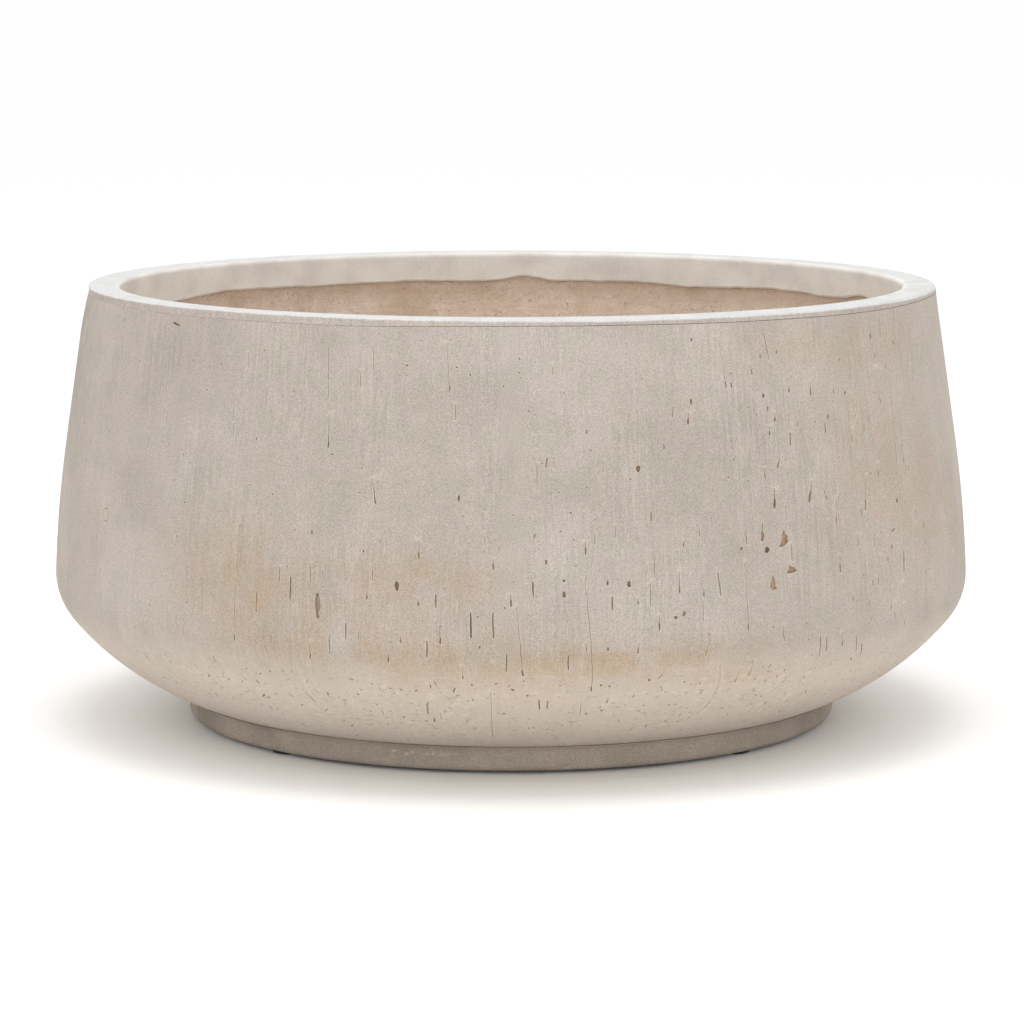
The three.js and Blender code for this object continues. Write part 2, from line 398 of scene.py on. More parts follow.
concreteLook = {
    "pink": colour(175, 163, 154),
    "green": colour(169, 161, 150),
    "warm": colour(170, 149, 126),
    "pale": colour(190, 181, 172),
    "dim": colour(152, 143, 133),
    "low": colour(214, 201, 186),
    "pitTan": colour(174, 138, 106),
    "pitDark": colour(100, 85, 68),
    "fleck": colour(222, 213, 196),
    "roughness": 0.9,
    "mottle": pattern(62, 5, 0.36, 0.64),
    "broad": pattern(11, 3, 0.40, 0.66, share=0.38, seed=3.1),
    "shade": pattern(17, 4, 0.46, 0.72, share=0.3, seed=8.4),
    "clouded": pattern(70, 5, 0.2, 0.6, seed=4.6),
    "tinted": pattern(45, 5, 0.2, 0.62, seed=5.7),
    "brushed": pattern(1100, 4, 0.25, 0.75, share=0.09, stretch=(1, 1, 0.06)),
    "patchy": pattern(30, 3, 0.35, 0.65, seed=2.9, stretch=(1, 1, 0.5)),
    "drawn": pattern(430, 3, 0.3, 0.7, share=0.045, seed=7.9, stretch=(1, 1, 0.035)),
    "speck": pattern(1500, 3, 0.28, 0.72, share=0.2),
    "darkSpeck": pattern(640, 1, 0.70, 0.78, share=0.5, seed=2.2),
    "paleSpeck": pattern(620, 1, 0.72, 0.80, share=0.35, seed=6.2),
    "scuff": pattern(260, 5, 0.52, 0.70, share=0.5, seed=1.7, stretch=(0.7, 0.7, 1.1), roughness=0.7),
    "scuffed": pattern(24, 3, 0.34, 0.56, seed=6.6),
    "dash": pattern(310, 4, 0.58, 0.68, share=0.8, seed=9.3, stretch=(0.75, 0.75, 1.0), roughness=0.65),
    "grit": pattern(420, 3, 0.25, 0.75, share=0.5, seed=4.4),
    "lowShare": 0.5,
    "lipHighlightShare": 0.3,
}


# Clouded, mottled and brushed cement, as the base of the cast face and of the lip's outer side.
def layCement(paint, warmth, dimness):
    look = paint.look
    paint.ground(paint.cloud("mottle"), "green", "pink")
    paint.wash("pale", "broad")
    paint.wash("dim", "shade")
    # Darker patches; the one high on the -X side is painted shade where the light falls off.
    paint.tint("dim", dimness, paint.cloud("clouded"))
    paint.tint("warm", warmth, paint.cloud("tinted"))
    # Fine upright brushing, then specks of sand.
    patchy = paint.cloud("patchy")
    grain = paint.plus(paint.times(paint.minus(paint.cloud("brushed"), 0.5), patchy), 0.5)
    paint.overlay(look["brushed"]["share"], grain)
    paint.overlay(paint.times(patchy, look["drawn"]["share"]), paint.cloud("drawn"))
    speck = paint.cloud("speck")
    paint.overlay(look["speck"]["share"], speck)
    paint.wash("dim", "darkSpeck")
    paint.wash("fleck", "paleSpeck")
    return paint.plus(paint.times(grain, 0.35), paint.times(speck, 0.4))


def concreteMaterial():
    look = concreteLook
    paint = Paint("concrete", look, "facePlace")
    height = layCement(paint, paint.mesh("warmth"), paint.mesh("dimness"))
    # Where the face tucks under, it is paler, partly as dusty cement and partly as painted light on the shaded
    # underside, with scattered scuffs and dashes.
    low = paint.mesh("lowBand")
    paint.tint("low", low, look["lowShare"])
    scuff = paint.times(paint.cloud("scuff"), paint.cloud("scuffed"))
    paint.tint("fleck", paint.times(scuff, low), look["scuff"]["share"])
    paint.tint("dim", paint.times(paint.cloud("dash"), low), look["dash"]["share"])
    # The marks: a painted highlight on the lip, then tan to dark brown inside, with painted shade on their
    # sides.
    paint.tint("fleck", paint.mesh("edge"), look["lipHighlightShare"])
    grit = paint.times(paint.minus(paint.cloud("grit"), 0.5), look["grit"]["share"])
    stain = paint.blend(paint.plus(paint.mesh("tone"), grit), look["pitDark"], look["pitTan"])
    paint.base = paint.blend(paint.mesh("pit"), paint.base, stain)
    return paint.end(height, 0.3, 0.0003)


# The lip keeps the wall's cement on its outer side. The slurry on top runs further down it on one half.
rimLook = {
    **concreteLook,
    # The top and the apron are one slurry given two colours: the top painted darker where the light is strong,
    # the apron painted paler in its shade.
    "top": colour(204, 204, 203),
    "shadeTop": colour(196, 195, 193),
    "apron": colour(224, 222, 216),
    "apronDim": colour(208, 204, 198),
    "roughness": 0.85,
    "topCloud": pattern(50, 4, 0.35, 0.75),
    "apronCloud": pattern(34, 4, 0.3, 0.75),
    "fine": pattern(900, 3, 0.3, 0.7, share=0.1),
    "ragged": pattern(120, 3, 0.2, 0.8, share=0.0006),
    "run": 0.0014,
}


# Trowelled slurry, nearly white, from where the outer side ends to where the apron starts.
def rimMaterial(sideEnd, apronStart):
    look = rimLook
    paint = Paint("rim", look, "facePlace")
    place = paint.parts(paint.place)
    layCement(paint, 0.0, 0.0)
    # One slurry in two colours: a darker top and a paler apron, painted against how the light falls on each.
    top = paint.blend(paint.cloud("topCloud"), look["top"], look["shadeTop"])
    apron = paint.blend(paint.cloud("apronCloud"), look["apron"], look["apronDim"])
    fine = paint.cloud("fine")
    ragged = paint.times(paint.minus(paint.cloud("ragged"), 0.5), look["ragged"]["share"])
    run = paint.times(paint.step(place["X"], -0.16, 0.06), look["run"])
    where = paint.plus(paint.plus(place["Z"], run), ragged)
    paint.base = paint.blend(paint.step(where, sideEnd - 0.0006, sideEnd + 0.0002), paint.base, top)
    paint.base = paint.blend(paint.step(where, apronStart - 0.001, apronStart + 0.002), paint.base, apron)
    paint.overlay(look["fine"]["share"], fine)
    return paint.end(fine, 0.3, 0.0004)


liningLook = {
    "dark": colour(212, 190, 170),
    "light": colour(241, 229, 216),
    "fibre": colour(240, 226, 211),
    "damp": colour(180, 154, 132),
    "speck": colour(128, 102, 82),
    "roughness": 0.97,
    "streak": pattern(60, 6, 0.25, 0.75, share=0.45, stretch=(0.35, 0.35, 3.2), roughness=0.65),
    "clot": pattern(70, 6, 0.3, 0.7, share=0.55, seed=3.3, roughness=0.7),
    "mat": pattern(420, 5, 0.42, 0.62, share=0.4, roughness=0.7),
    "dampCloud": pattern(26, 4, 0.5, 0.72, share=0.35, seed=6.0),
    "speckCloud": pattern(480, 2, 0.64, 0.74, share=0.6, seed=8.8),
    "strip": {"full": 0.022, "end": 0.034, "share": 0.35},
}


# Raw laminate: brown, matted, streaked round the bowl, and darker in a strip under the apron.
def liningMaterial(fromTop):
    look = liningLook
    paint = Paint("lining", look, "facePlace")
    streak = paint.cloud("streak")
    clot = paint.times(paint.cloud("clot", paint.solid), look["clot"]["share"])
    paint.ground(paint.plus(paint.times(streak, look["streak"]["share"]), clot), "dark", "light")
    mat = paint.cloud("mat", paint.solid)
    paint.tint("fibre", mat, look["mat"]["share"])
    paint.wash("damp", "dampCloud", paint.solid)
    paint.wash("speck", "speckCloud", paint.solid)
    # The strip under the apron's edge takes the damp colour, full near the top and fading out further down.
    strip = look["strip"]
    up = paint.parts(paint.place)["Z"]
    under = paint.times(paint.step(up, fromTop + strip["end"], fromTop + strip["full"]), strip["share"])
    paint.base = paint.blend(under, paint.base, look["damp"])
    return paint.end(paint.plus(paint.times(mat, 0.6), paint.times(streak, 0.4)), 0.6, 0.0012)


# The plinth's cement is darker than the shell's: painted shade where the belly shades the foot.
plinthLook = {
    "base": colour(158, 148, 136),
    "pink": colour(167, 154, 142),
    "dim": colour(133, 123, 111),
    "scratch": colour(206, 197, 186),
    "roughness": 0.9,
    "mottle": pattern(48, 5, 0.36, 0.64),
    "shade": pattern(19, 4, 0.45, 0.7, share=0.6, seed=2.0),
    "grain": pattern(700, 3, 0.3, 0.7, share=0.14, stretch=(1, 1, 1.6)),
    "broken": pattern(260, 3, 0.35, 0.6, share=0.8, seed=7.5, stretch=(1, 1, 1.8)),
    "speck": pattern(520, 2, 0.66, 0.76, share=0.5, seed=3.0),
}


def plinthMaterial():
    look = plinthLook
    paint = Paint("plinth", look)
    # Darker base colours, as painted shade under the belly.
    paint.ground(paint.cloud("mottle"), "base", "pink")
    paint.wash("dim", "shade")
    grain = paint.cloud("grain")
    paint.overlay(look["grain"]["share"], grain)
    scuff = paint.times(paint.mesh("scuffed"), paint.cloud("broken"))
    paint.tint("scratch", scuff, look["broken"]["share"])
    paint.wash("dim", "speck")
    return paint.end(grain, 0.4, 0.0005)


# Rubber, plastic or loose fibre, with two near shades and an uneven shine.
def plainMaterial(name, dark, light, scale, roughness, bump):
    unevenShine = 0.08
    look = {"dark": dark, "light": light, "roughness": roughness, "tone": pattern(scale, 4, 0.3, 0.7)}
    paint = Paint(name, look)
    tone = paint.cloud("tone")
    paint.ground(tone, "dark", "light")
    ends = {"Value": tone, "To Min": roughness - unevenShine, "To Max": roughness + unevenShine}
    paint.feed(paint.shader["Roughness"], paint.out("ShaderNodeMapRange", ends))
    return paint.end(tone, bump, 0.0003)


# The joint line under the lip: its bearings and rises, how it wavers, and how far the shell's top is drawn up
# towards the lip, which nearly shuts it on one side.
joint = {
    "stations": (
        (-180, 0.1), (-150, -0.2), (-122, -0.5), (-110, -0.4), (-97, 0.6), (-76, 0.9), (-62, 0.1), (-31, 0.0),
        (-17, 0.9), (10, 0.4), (55, -0.4), (100, 0.3), (140, -0.3),
    ),
    "waver": 0.12,
    "waves": 11,
    "wavesStart": 0.3,
    "closing": 0.24,
    "closingMiddle": -158,
    "closingSpread": 58,
}


def jointRise(bearing):
    bearings, rises = zip(*joint["stations"])
    waver = joint["waver"] * np.sin(joint["waves"] * np.radians(bearing) + joint["wavesStart"])
    return np.interp(bearing, bearings, rises, period=360) + waver


def jointClosing(bearing):
    return joint["closing"] * hump(bearing, joint["closingMiddle"], joint["closingSpread"])


# The outer shoulder is worn back on one side: how deep, round which bearing, and from which height up.
shoulder = {"depth": 2.5, "middle": 180, "spread": 34.0, "low": 255.0}


def shoulderWear(bearing, height):
    high = np.clip((height - shoulder["low"]) / (bowl["rimTop"] - shoulder["low"]), 0, 1) ** 2
    return shoulder["depth"] * hump(bearing, shoulder["middle"], shoulder["spread"]) * high


# The quads of a grid of points, row by row.
def gridFaces(rows, columns, start=0):
    wide = columns + 1
    firsts = [start + r * wide + c for r in range(rows - 1) for c in range(columns)]
    return [(a, a + 1, a + wide + 1, a + wide) for a in firsts]


# A plain sheet over a whole closed section, with its rows at the section's own points. A rule gives a depth in
# millimetres, or a share from 0 to 1, at a point of the section for a row of bearings.
def plainSheet(section, columns, depths, shares):
    bearings = np.linspace(-180, 180, columns + 1)
    x, y = np.meshgrid(np.radians(bearings), lengths(section) * mm)
    verts = np.stack([x.ravel(), y.ravel(), np.zeros(x.size)], axis=1)
    floats = {}
    for rules, unit in ((depths, mm), (shares, 1.0)):
        for name, rule in rules.items():
            floats[name] = np.array([rule(p, bearings) + 0 * bearings for p in section]).ravel() * unit
    return meshObject("sheet", verts, (), gridFaces(len(section), columns), floats)


# Wraps a sheet round the bowl along a closed section, then clears the helpers away.
def wrapPiece(name, sheet, section, finish, given, lean=0.0):
    line = sectionObject(name + " section", section[:-1], True)
    values = {
        "Sheet": sheet,
        "Section": line,
        "Unevenness": given["unevenness"] * mm,
        "Swell": given["swell"],
        "Lean": math.tan(lean),
        "Seed": given["seed"],
        "Crease": given["crease"],
        "Finish": finish,
    }
    wrapped = grow(name, wrapSheet, values)
    for helper in (sheet, line):
        bpy.data.objects.remove(helper)
    return wrapped


# The larger marks in the cast face, listed one by one: bearing, height above the plinth's underside, length,
# width, depth and lean in degrees. A leaning mark has its foot towards the higher bearings.
handMarks = {
    "chip": (
        (-56.5, 150, 9, 7.0, 1.7, 24), (-55.7, 131, 5, 7.5, 1.5, 12), (-58.3, 124, 9, 5.0, 1.4, -4),
    ),
    "ring": (
        (-148.5, 151, 10, 10.0, 0.9, 0), (-143.5, 141, 4.5, 4.5, 0.7, 0),
    ),
    "drag": (
        (-123.5, 123, 71, 1.1, 0.9, -1), (-113.5, 87, 14, 1.2, 0.8, -4), (-112, 217, 22, 1.1, 0.9, 1),
        (-106.5, 122, 6, 1.3, 0.9, 0), (-106, 183, 17, 1.1, 1.0, 10), (-104, 85, 7, 1.5, 0.8, -5),
        (-102.5, 97, 6, 1.5, 0.8, 1), (-100.5, 150, 13, 1.2, 0.9, 2), (-100.5, 119, 6, 1.5, 0.9, 2),
        (-99.5, 68, 8, 1.3, 0.8, 0), (-98, 100, 12, 1.1, 0.8, 3), (-97.5, 256, 30, 1.0, 0.8, 5),
        (-95.5, 77, 12, 0.9, 0.7, -2), (-92.5, 44, 60, 0.9, 0.7, -1), (-92, 142, 8, 1.5, 1.1, 1),
        (-90, 121, 9, 1.3, 1.0, 1), (-89, 96, 46, 1.2, 1.1, 5), (-81.5, 151, 9, 1.3, 1.2, 0),
        (-81, 96, 76, 1.3, 1.3, 5), (-79, 131, 5, 1.5, 1.1, -1), (-75.5, 119, 5, 1.3, 0.9, 4),
        (-75.5, 91, 8, 1.3, 0.8, 2), (-73, 106, 11, 1.2, 1.0, 1), (-70.5, 129, 15, 1.3, 1.2, -1),
        (-68.5, 224, 8, 1.6, 1.2, -5), (-67.5, 122, 7, 1.3, 1.0, -1), (-67, 90, 15, 1.2, 0.7, -10),
        (-63.5, 256, 32, 1.1, 0.8, 6), (-62, 118, 43, 1.1, 1.1, 2), (-62, 68, 15, 1.2, 0.8, 5),
        (-60.5, 72, 14, 1.2, 0.8, 5), (-59.5, 251, 8, 1.2, 0.8, 10), (-59.5, 155, 13, 3.0, 1.7, -5),
        (-58, 259, 5, 1.3, 0.8, -2), (-57.5, 174, 13, 2.6, 1.7, -3), (-57.5, 214, 7, 1.5, 1.0, 0),
        (-56.5, 195, 9, 1.5, 1.2, -19), (-56.5, 222, 7, 1.5, 1.2, -5), (-55.5, 261, 5, 1.3, 0.8, -3),
        (-54, 238, 6, 1.7, 1.0, -8), (-52, 176, 15, 2.6, 1.6, -15), (-50.5, 237, 10, 1.3, 0.8, -4),
        (-49.5, 172, 6, 1.3, 0.9, -5), (-48, 131, 13, 1.6, 1.2, -3), (-47.5, 84, 13, 1.2, 0.8, 17),
        (-46, 109, 6, 1.3, 0.9, -2), (-44, 206, 10, 1.3, 0.8, -3), (-42.5, 171, 24, 1.8, 1.5, -9),
        (-41, 123, 20, 1.2, 1.0, -5), (-36, 164, 7, 2.6, 1.4, -5), (-35.5, 91, 18, 1.1, 0.7, 11),
        (-29.5, 137, 14, 1.1, 0.8, -9), (-25, 186, 7, 1.2, 0.8, -24),
    ),
    "slot": (
        (-120.5, 113, 13, 1.8, 0.7, -1), (-116, 123, 15, 1.5, 0.9, 1), (-112.5, 114, 16, 3.3, 1.3, 1),
        (-109, 100, 11, 1.0, 0.8, 0), (-100.5, 50, 16, 1.6, 0.8, -8), (-99.5, 91, 12, 1.1, 0.8, -1),
        (-98.5, 120, 9, 1.5, 0.8, 0), (-94.5, 106, 16, 1.5, 1.2, 1), (-92, 106, 16, 1.6, 1.2, 1),
        (-90.5, 83, 13, 1.0, 0.7, 0), (-87.5, 127, 10, 1.1, 1.0, 2), (-86.5, 54, 12, 1.3, 0.8, 4),
        (-85.5, 54, 10, 1.2, 0.7, 4), (-83.5, 83, 11, 1.2, 0.7, 4), (-78.5, 118, 9, 1.3, 1.0, 1),
        (-65.5, 126, 15, 1.3, 0.9, 6), (-54.5, 208, 9, 1.2, 0.8, -3), (-51, 81, 17, 1.0, 0.7, 14),
        (-50, 82, 13, 1.0, 0.7, 17), (-44.5, 78, 16, 1.0, 0.6, 27), (-43, 74, 13, 1.0, 0.6, 30),
        (-35.5, 124, 15, 2.1, 1.0, -5),
    ),
    "pock": (
        (-149.5, 271, 2, 1.3, 1.0, 20), (-137, 273, 8, 2.2, 1.6, 78), (-119.5, 276, 2, 2.0, 0.8, 4),
        (-113.5, 157, 3, 1.6, 0.8, 3), (-107, 276, 2, 2.4, 1.2, 2), (-103, 128, 6, 3.0, 1.4, 1),
        (-96, 180, 4, 1.7, 0.9, 1), (-93.5, 93, 2, 1.7, 0.9, 1), (-86, 143, 3, 1.7, 0.9, -1),
        (-84, 124, 4, 2.6, 1.3, -1), (-84, 132, 2, 2.3, 1.1, -1), (-79, 91, 2.4, 1.7, 0.8, 1),
        (-76.5, 129, 4, 2.6, 1.6, 0), (-75, 196, 4, 3.0, 1.5, -2), (-71, 108, 2.4, 2.6, 1.2, -3),
        (-70, 110, 3.5, 2.6, 1.3, -8), (-68, 234, 3.5, 2.0, 1.2, -3), (-67.5, 270, 2.4, 1.7, 0.9, -3),
        (-62.5, 146, 2.4, 2.6, 1.0, -4), (-59, 144, 4, 4.0, 1.8, -3), (-58, 235, 3, 2.0, 1.4, -4),
        (-57.5, 227, 3, 1.6, 1.1, -4), (-55, 276, 1.8, 2.0, 1.2, -5), (-54, 276, 2.1, 2.3, 1.2, -5),
        (-53, 276, 2.1, 2.3, 1.2, -5), (-51.5, 276, 1.8, 2.0, 1.2, -5), (-48, 219, 3.6, 1.7, 0.9, -11),
        (-44.5, 232, 3, 2.0, 0.9, -13), (-39, 128, 3, 2.0, 1.0, -8), (-38, 135, 3, 2.0, 1.0, 1),
        (-38, 264, 4.3, 2.3, 1.0, -4), (-37.5, 252, 3.7, 1.7, 0.9, -13), (-37.5, 145, 5, 1.1, 0.7, -70),
        (-32.5, 258, 3.2, 1.8, 0.9, -15),
    ),
    "hair": (
        (-128.5, 113, 22, 0.7, 0.5, 2), (-117.5, 131, 10, 0.8, 0.4, 2), (-116, 53, 14, 1.0, 0.6, 16),
        (-114.5, 58, 8, 0.8, 0.4, 22), (-113.5, 133, 13, 0.9, 0.5, 2), (-112.5, 250, 33, 0.6, 0.4, 3),
        (-111, 91, 13, 0.9, 0.6, -2), (-96.5, 230, 11, 0.7, 0.4, 1), (-74, 122, 15, 0.7, 0.5, 1),
        (-57, 93, 12, 0.9, 0.5, 11), (-57, 264, 18, 0.8, 0.6, 8), (-56, 165, 10, 0.7, 0.5, 0),
        (-55.5, 141, 12, 0.8, 0.6, 1), (-41.5, 141, 10, 0.9, 0.6, -6), (-38.5, 173, 11, 0.8, 0.5, -4),
        (-35.5, 268, 14, 1.2, 0.8, -9), (-35, 205, 76, 0.8, 0.6, -3),
    ),
}
# A gouge that follows a curve across the belly: bearing and height of each point, then width and depth.
gouge = {"course": ((-64.4, 36), (-64, 42), (-63.7, 52), (-63.9, 61), (-65.1, 78)), "width": 4.0, "depth": 0.55}

# The marks that only repeat a kind, strewn by a seeded draw: how many, their kind, and the ranges of their
# bearing, height, length, width, depth and lean.
strewnMarks = (
    (230, "pock", (-168, -12), (36, 262), (0.9, 1.9), (0.8, 1.5), (0.4, 0.8), (-60, 60)),
    (150, "slot", (-160, -20), (30, 74), (1.6, 6.5), (0.7, 1.3), (0.5, 0.9), (-50, 50)),
    (60, "pock", (-130, -30), (34, 70), (1.5, 3.2), (1.2, 2.2), (0.6, 1.1), (-80, 80)),
    (46, "hair", (-168, -12), (40, 262), (5, 16), (0.5, 0.7), (0.3, 0.4), (-5, 5)),
    (24, "slot", (-88, -24), (84, 250), (3, 8), (0.8, 1.3), (0.6, 0.9), (-10, 8)),
    (18, "drag", (-64, -14), (90, 255), (8, 30), (0.9, 1.6), (0.6, 1.0), (-8, 4)),
    (74, "drag", (-14, 195), (60, 262), (5, 24), (1.1, 2.2), (0.8, 1.4), (-12, 8)),
    (8, "drag", (-14, 195), (80, 170), (40, 75), (1.0, 1.3), (0.7, 1.0), (-4, 4)),
    (40, "slot", (-14, 195), (66, 200), (6, 16), (1.0, 2.2), (0.7, 1.1), (-8, 8)),
    (60, "pock", (-14, 195), (80, 272), (1.8, 4.6), (1.6, 3.0), (0.8, 1.5), (-30, 30)),
    (8, "chip", (-14, 195), (100, 200), (5, 9), (4.0, 6.5), (1.2, 1.7), (-30, 30)),
    (260, "pock", (-14, 195), (36, 262), (0.9, 1.9), (0.8, 1.5), (0.4, 0.8), (-60, 60)),
    (190, "slot", (-14, 195), (30, 74), (1.6, 6.5), (0.7, 1.3), (0.5, 0.9), (-50, 50)),
    (60, "hair", (-14, 195), (40, 262), (5, 20), (0.5, 0.7), (0.3, 0.4), (-5, 5)),
)

# Each kind of mark: how ragged its sides are, how stained it is, its tone from dark brown at 0 to tan at 1, how
# square its ends are, and the fewest steps along it.
kinds = {
    "drag": {"ragged": 0.34, "stain": (0.6, 0.9), "tone": (0.25, 1.0)},
    "hair": {"ragged": 0.35, "stain": (0.35, 0.6), "tone": (0.2, 0.7), "square": 3, "steps": 4},
    "pock": {"ragged": 0.26, "stain": (0.5, 0.85), "tone": (0.0, 0.7), "square": 2, "steps": 6},
    "slot": {"ragged": 0.38, "stain": (0.5, 0.85), "tone": (0.2, 0.9), "square": 4, "steps": 4},
    "chip": {"ragged": 0.34, "stain": (0.7, 0.85), "tone": (0.75, 1.0), "steps": 9},
    "crease": {"ragged": 0.12, "stain": (0.12, 0.14), "tone": (0.4, 0.5), "square": 2.5, "steps": 14},
    "ring": {"stain": 0.22, "tone": 0.3},
}

# Where the cement dried warmer: bearing, height, their spreads and how warm.
warmPatches = (
    (-123, 128, 8, 26, 0.8), (-101, 132, 8, 14, 0.8), (-76, 82, 15, 10, 0.9), (-60, 66, 14, 7, 0.8),
    (-95, 58, 22, 12, 0.5), (-112, 92, 20, 24, 0.5), (-94, 78, 20, 15, 0.55), (-66, 50, 22, 10, 0.4),
    (-26, 150, 8, 50, 0.3), (-38, 190, 9, 60, 0.45), (-45, 262, 16, 14, 0.4), (12, 150, 10, 30, 0.7),
    (48, 84, 14, 12, 0.8), (84, 128, 9, 24, 0.8), (116, 205, 10, 44, 0.5), (150, 92, 14, 14, 0.8),
    (172, 160, 8, 26, 0.6),
)
# Where it is darker: the same. The first, high on the -X side, is painted shade where the light falls off; the
# rest dried darker.
dimPatches = (
    (-175, 246, 13, 60, 1.0), (-128, 245, 7, 34, 0.3), (-60, 232, 6, 38, 0.3), (-104, 66, 9, 14, 0.25),
    (28, 236, 12, 40, 0.5), (96, 250, 16, 30, 0.5), (138, 178, 9, 46, 0.4),
)


def patchesAt(patches, bearings, heights):
    total = 0 * bearings
    for bearing, height, wide, high, amount in patches:
        away = awayFrom(bearings, bearing)
        total = total + amount * np.exp(-((away / wide) ** 2) - ((heights - height) / high) ** 2)
    return np.clip(total, 0, 1)


face = {
    "radius": 280.0,  # the sheet's millimetres per radian of bearing
    "rowStep": 6.0,
    "fineStep": 1.0,
    "halo": 0.45,
    "wander": 0.22,  # how far a long mark strays from its course
    "chipSkew": 0.35,
    "leastHalf": 0.16,
    "wallDepth": 0.85,
    # Painted shade: how much darker than its tone a mark's two sides are, one more than the other, and the rim
    # and foot of its ends.
    "sidePaintedShade": (-0.15, -0.6),
    "endPaintedShade": (-0.2, -0.3),
    "ringPoints": 18,
    "seed": 20,
}
outerFace = bowlFace(0, bowl["shellBase"], shellTop, face["fineStep"])
faceUps = lengths(outerFace)
faceHeights = np.array(outerFace)[:, 1]
faceRadii = np.array(outerFace)[:, 0]


def onSheet(bearing, height):
    up = np.interp(height + bowl["padHeight"], faceHeights, faceUps)
    return np.array([math.radians(bearing) * face["radius"], float(up)])


# How many millimetres of the sheet's width make one of the bowl's.
def squeezeAt(up):
    return face["radius"] / float(np.interp(up, faceUps, faceRadii))


# A dragged mark is a pit with a thinner trail above it.
def pitOf(length, width):
    return min(0.55 * length, 4.5 * width)


# Half the width of a mark and its share of the full depth, at a distance up from its foot.
def markAt(kind, up, length, width):
    share = up / length
    if kind == "chip":
        return width / 2 * min(1.0, 6 * share + 0.2, 1.25 - 1.1 * share), 1.0
    if kind != "drag":
        return width / 2 * math.sqrt(max(0.0, 1 - abs(2 * share - 1) ** kinds[kind]["square"])), 1.0
    pitLength = pitOf(length, width)
    pit = math.sqrt(max(0.0, 1 - (2 * up / pitLength - 1) ** 2)) if up < pitLength else 0.0
    trail = 0.5 * math.sqrt(max(0.0, 1 - share)) * min(1.0, 5 * share)
    return width / 2 * max(pit, trail), 0.4 + 0.6 * pit


def stationsOf(kind, length, width):
    if kind == "drag":
        pitLength = pitOf(length, width)
        pit = [pitLength * i / 5 for i in range(6)]
        count = max(2, math.ceil((length - pitLength) / 3.2))
        return pit + [pitLength + (length - pitLength) * i / count for i in range(1, count + 1)]
    fewest = 4 if kind == "pock" and length < 2 else kinds[kind]["steps"]
    count = max(fewest, math.ceil(length / 3.0))
    return [length * (1 - math.cos(math.pi * i / count)) / 2 for i in range(count + 1)]


# One mark as loops of points on the sheet, each with its depth and its painted shade: a halo on the face, its
# rim, its wall's foot and its middle.
def layMark(kind, course, width, depth, draw):
    course = np.array(course)
    squeeze = squeezeAt(course[:, 1].mean())
    steps = lengths(course)
    length = float(steps[-1])
    ragged = kinds[kind]["ragged"]
    lines = {label: ([], []) for label in ("halo", "rim", "wall")}
    middle = []
    ups = stationsOf(kind, length, width)
    skew = draw.uniform(-face["chipSkew"], face["chipSkew"]) if kind == "chip" else 0.0

    def spotAt(up):
        return np.array([np.interp(up, steps, course[:, k]) for k in (0, 1)])

    def add(which, halo, rim, wall):
        for label, placed in (("halo", halo), ("rim", rim), ("wall", wall)):
            lines[label][which].append(placed)

    for i, up in enumerate(ups):
        spot = spotAt(up)
        ahead = spotAt(min(up + 0.5, length)) - spotAt(max(up - 0.5, 0))
        ahead = ahead / np.linalg.norm(ahead)
        right = np.array([ahead[1], -ahead[0]])
        end = i in (0, len(ups) - 1)
        half, share = markAt(kind, up, length, width)
        if length > 10 and not end:
            spot = spot + right * draw.uniform(-face["wander"], face["wander"])
        spot = spot + right * skew * width * (up / length - 0.5) * 2
        sides = [half * draw.uniform(1 - ragged, 1 + ragged) for _ in range(2)]
        sunk = face["wallDepth"] * share * depth
        if end:
            reach = ahead * (-1 if i == 0 else 1)
            halo = (spot + reach * face["halo"] * 1.4, 0.0, 0.0)
            foot = spot - reach * min(0.45, 0.12 * length)
            # The ends' rim and foot get painted shade.
            add(0, halo, (spot, 0.0, face["endPaintedShade"][0]), (foot, sunk, face["endPaintedShade"][1]))
            continue
        wallShare = max(0.35, 1 - 0.45 / max(half, 0.01)) if half > 0.6 else 0.5
        wallShare = 0.3 if kind == "crease" else wallShare
        for which, sign in enumerate((1, -1)):
            side = max(sides[which], face["leastHalf"])
            off = right * sign * np.array([squeeze, 1.0])
            # Each side's painted shade, one side darker than the other.
            shade = face["sidePaintedShade"][which]
            halo = (spot + off * (side + face["halo"]), 0.0, 0.0)
            add(which, halo, (spot + off * side, 0.0, shade), (spot + off * side * wallShare, sunk, shade))
        if half > 0.45:
            middle.append((spot, share * depth * draw.uniform(0.85, 1.0), draw.uniform(-0.15, 0.15)))
    # The first side runs from the foot to the top, with both ends. The second runs back down.
    loops = [(label, first + second[::-1]) for label, (first, second) in lines.items()]
    loops.append(("middle", middle))
    return loops, draw.uniform(*kinds[kind]["stain"]), draw.uniform(*kinds[kind]["tone"])


# A shallow crater with a sunk ring round a raised middle.
def layRing(place, across, depth, draw):
    squeeze = squeezeAt(place[1])
    count = face["ringPoints"]
    wobble = [draw.uniform(0.86, 1.1) for _ in range(count)]
    gaps = [draw.choice((0.15, 0.5, 1.0, 1.0)) for _ in range(count)]
    loops = []
    for label, share, sink in (("halo", 1.12, 0), ("rim", 1.0, 0), ("wall", 0.86, 1), ("rim", 0.7, 0.12)):
        points = []
        for i in range(count):
            angle = turn * i / count
            reach = across / 2 * share * wobble[i] * draw.uniform(0.98, 1.02)
            spot = place + np.array([math.cos(angle) * squeeze, math.sin(angle)]) * reach
            points.append((spot, sink * depth * gaps[i], 0.0))
        loops.append((label, points))
    return loops, kinds["ring"]["stain"], kinds["ring"]["tone"]


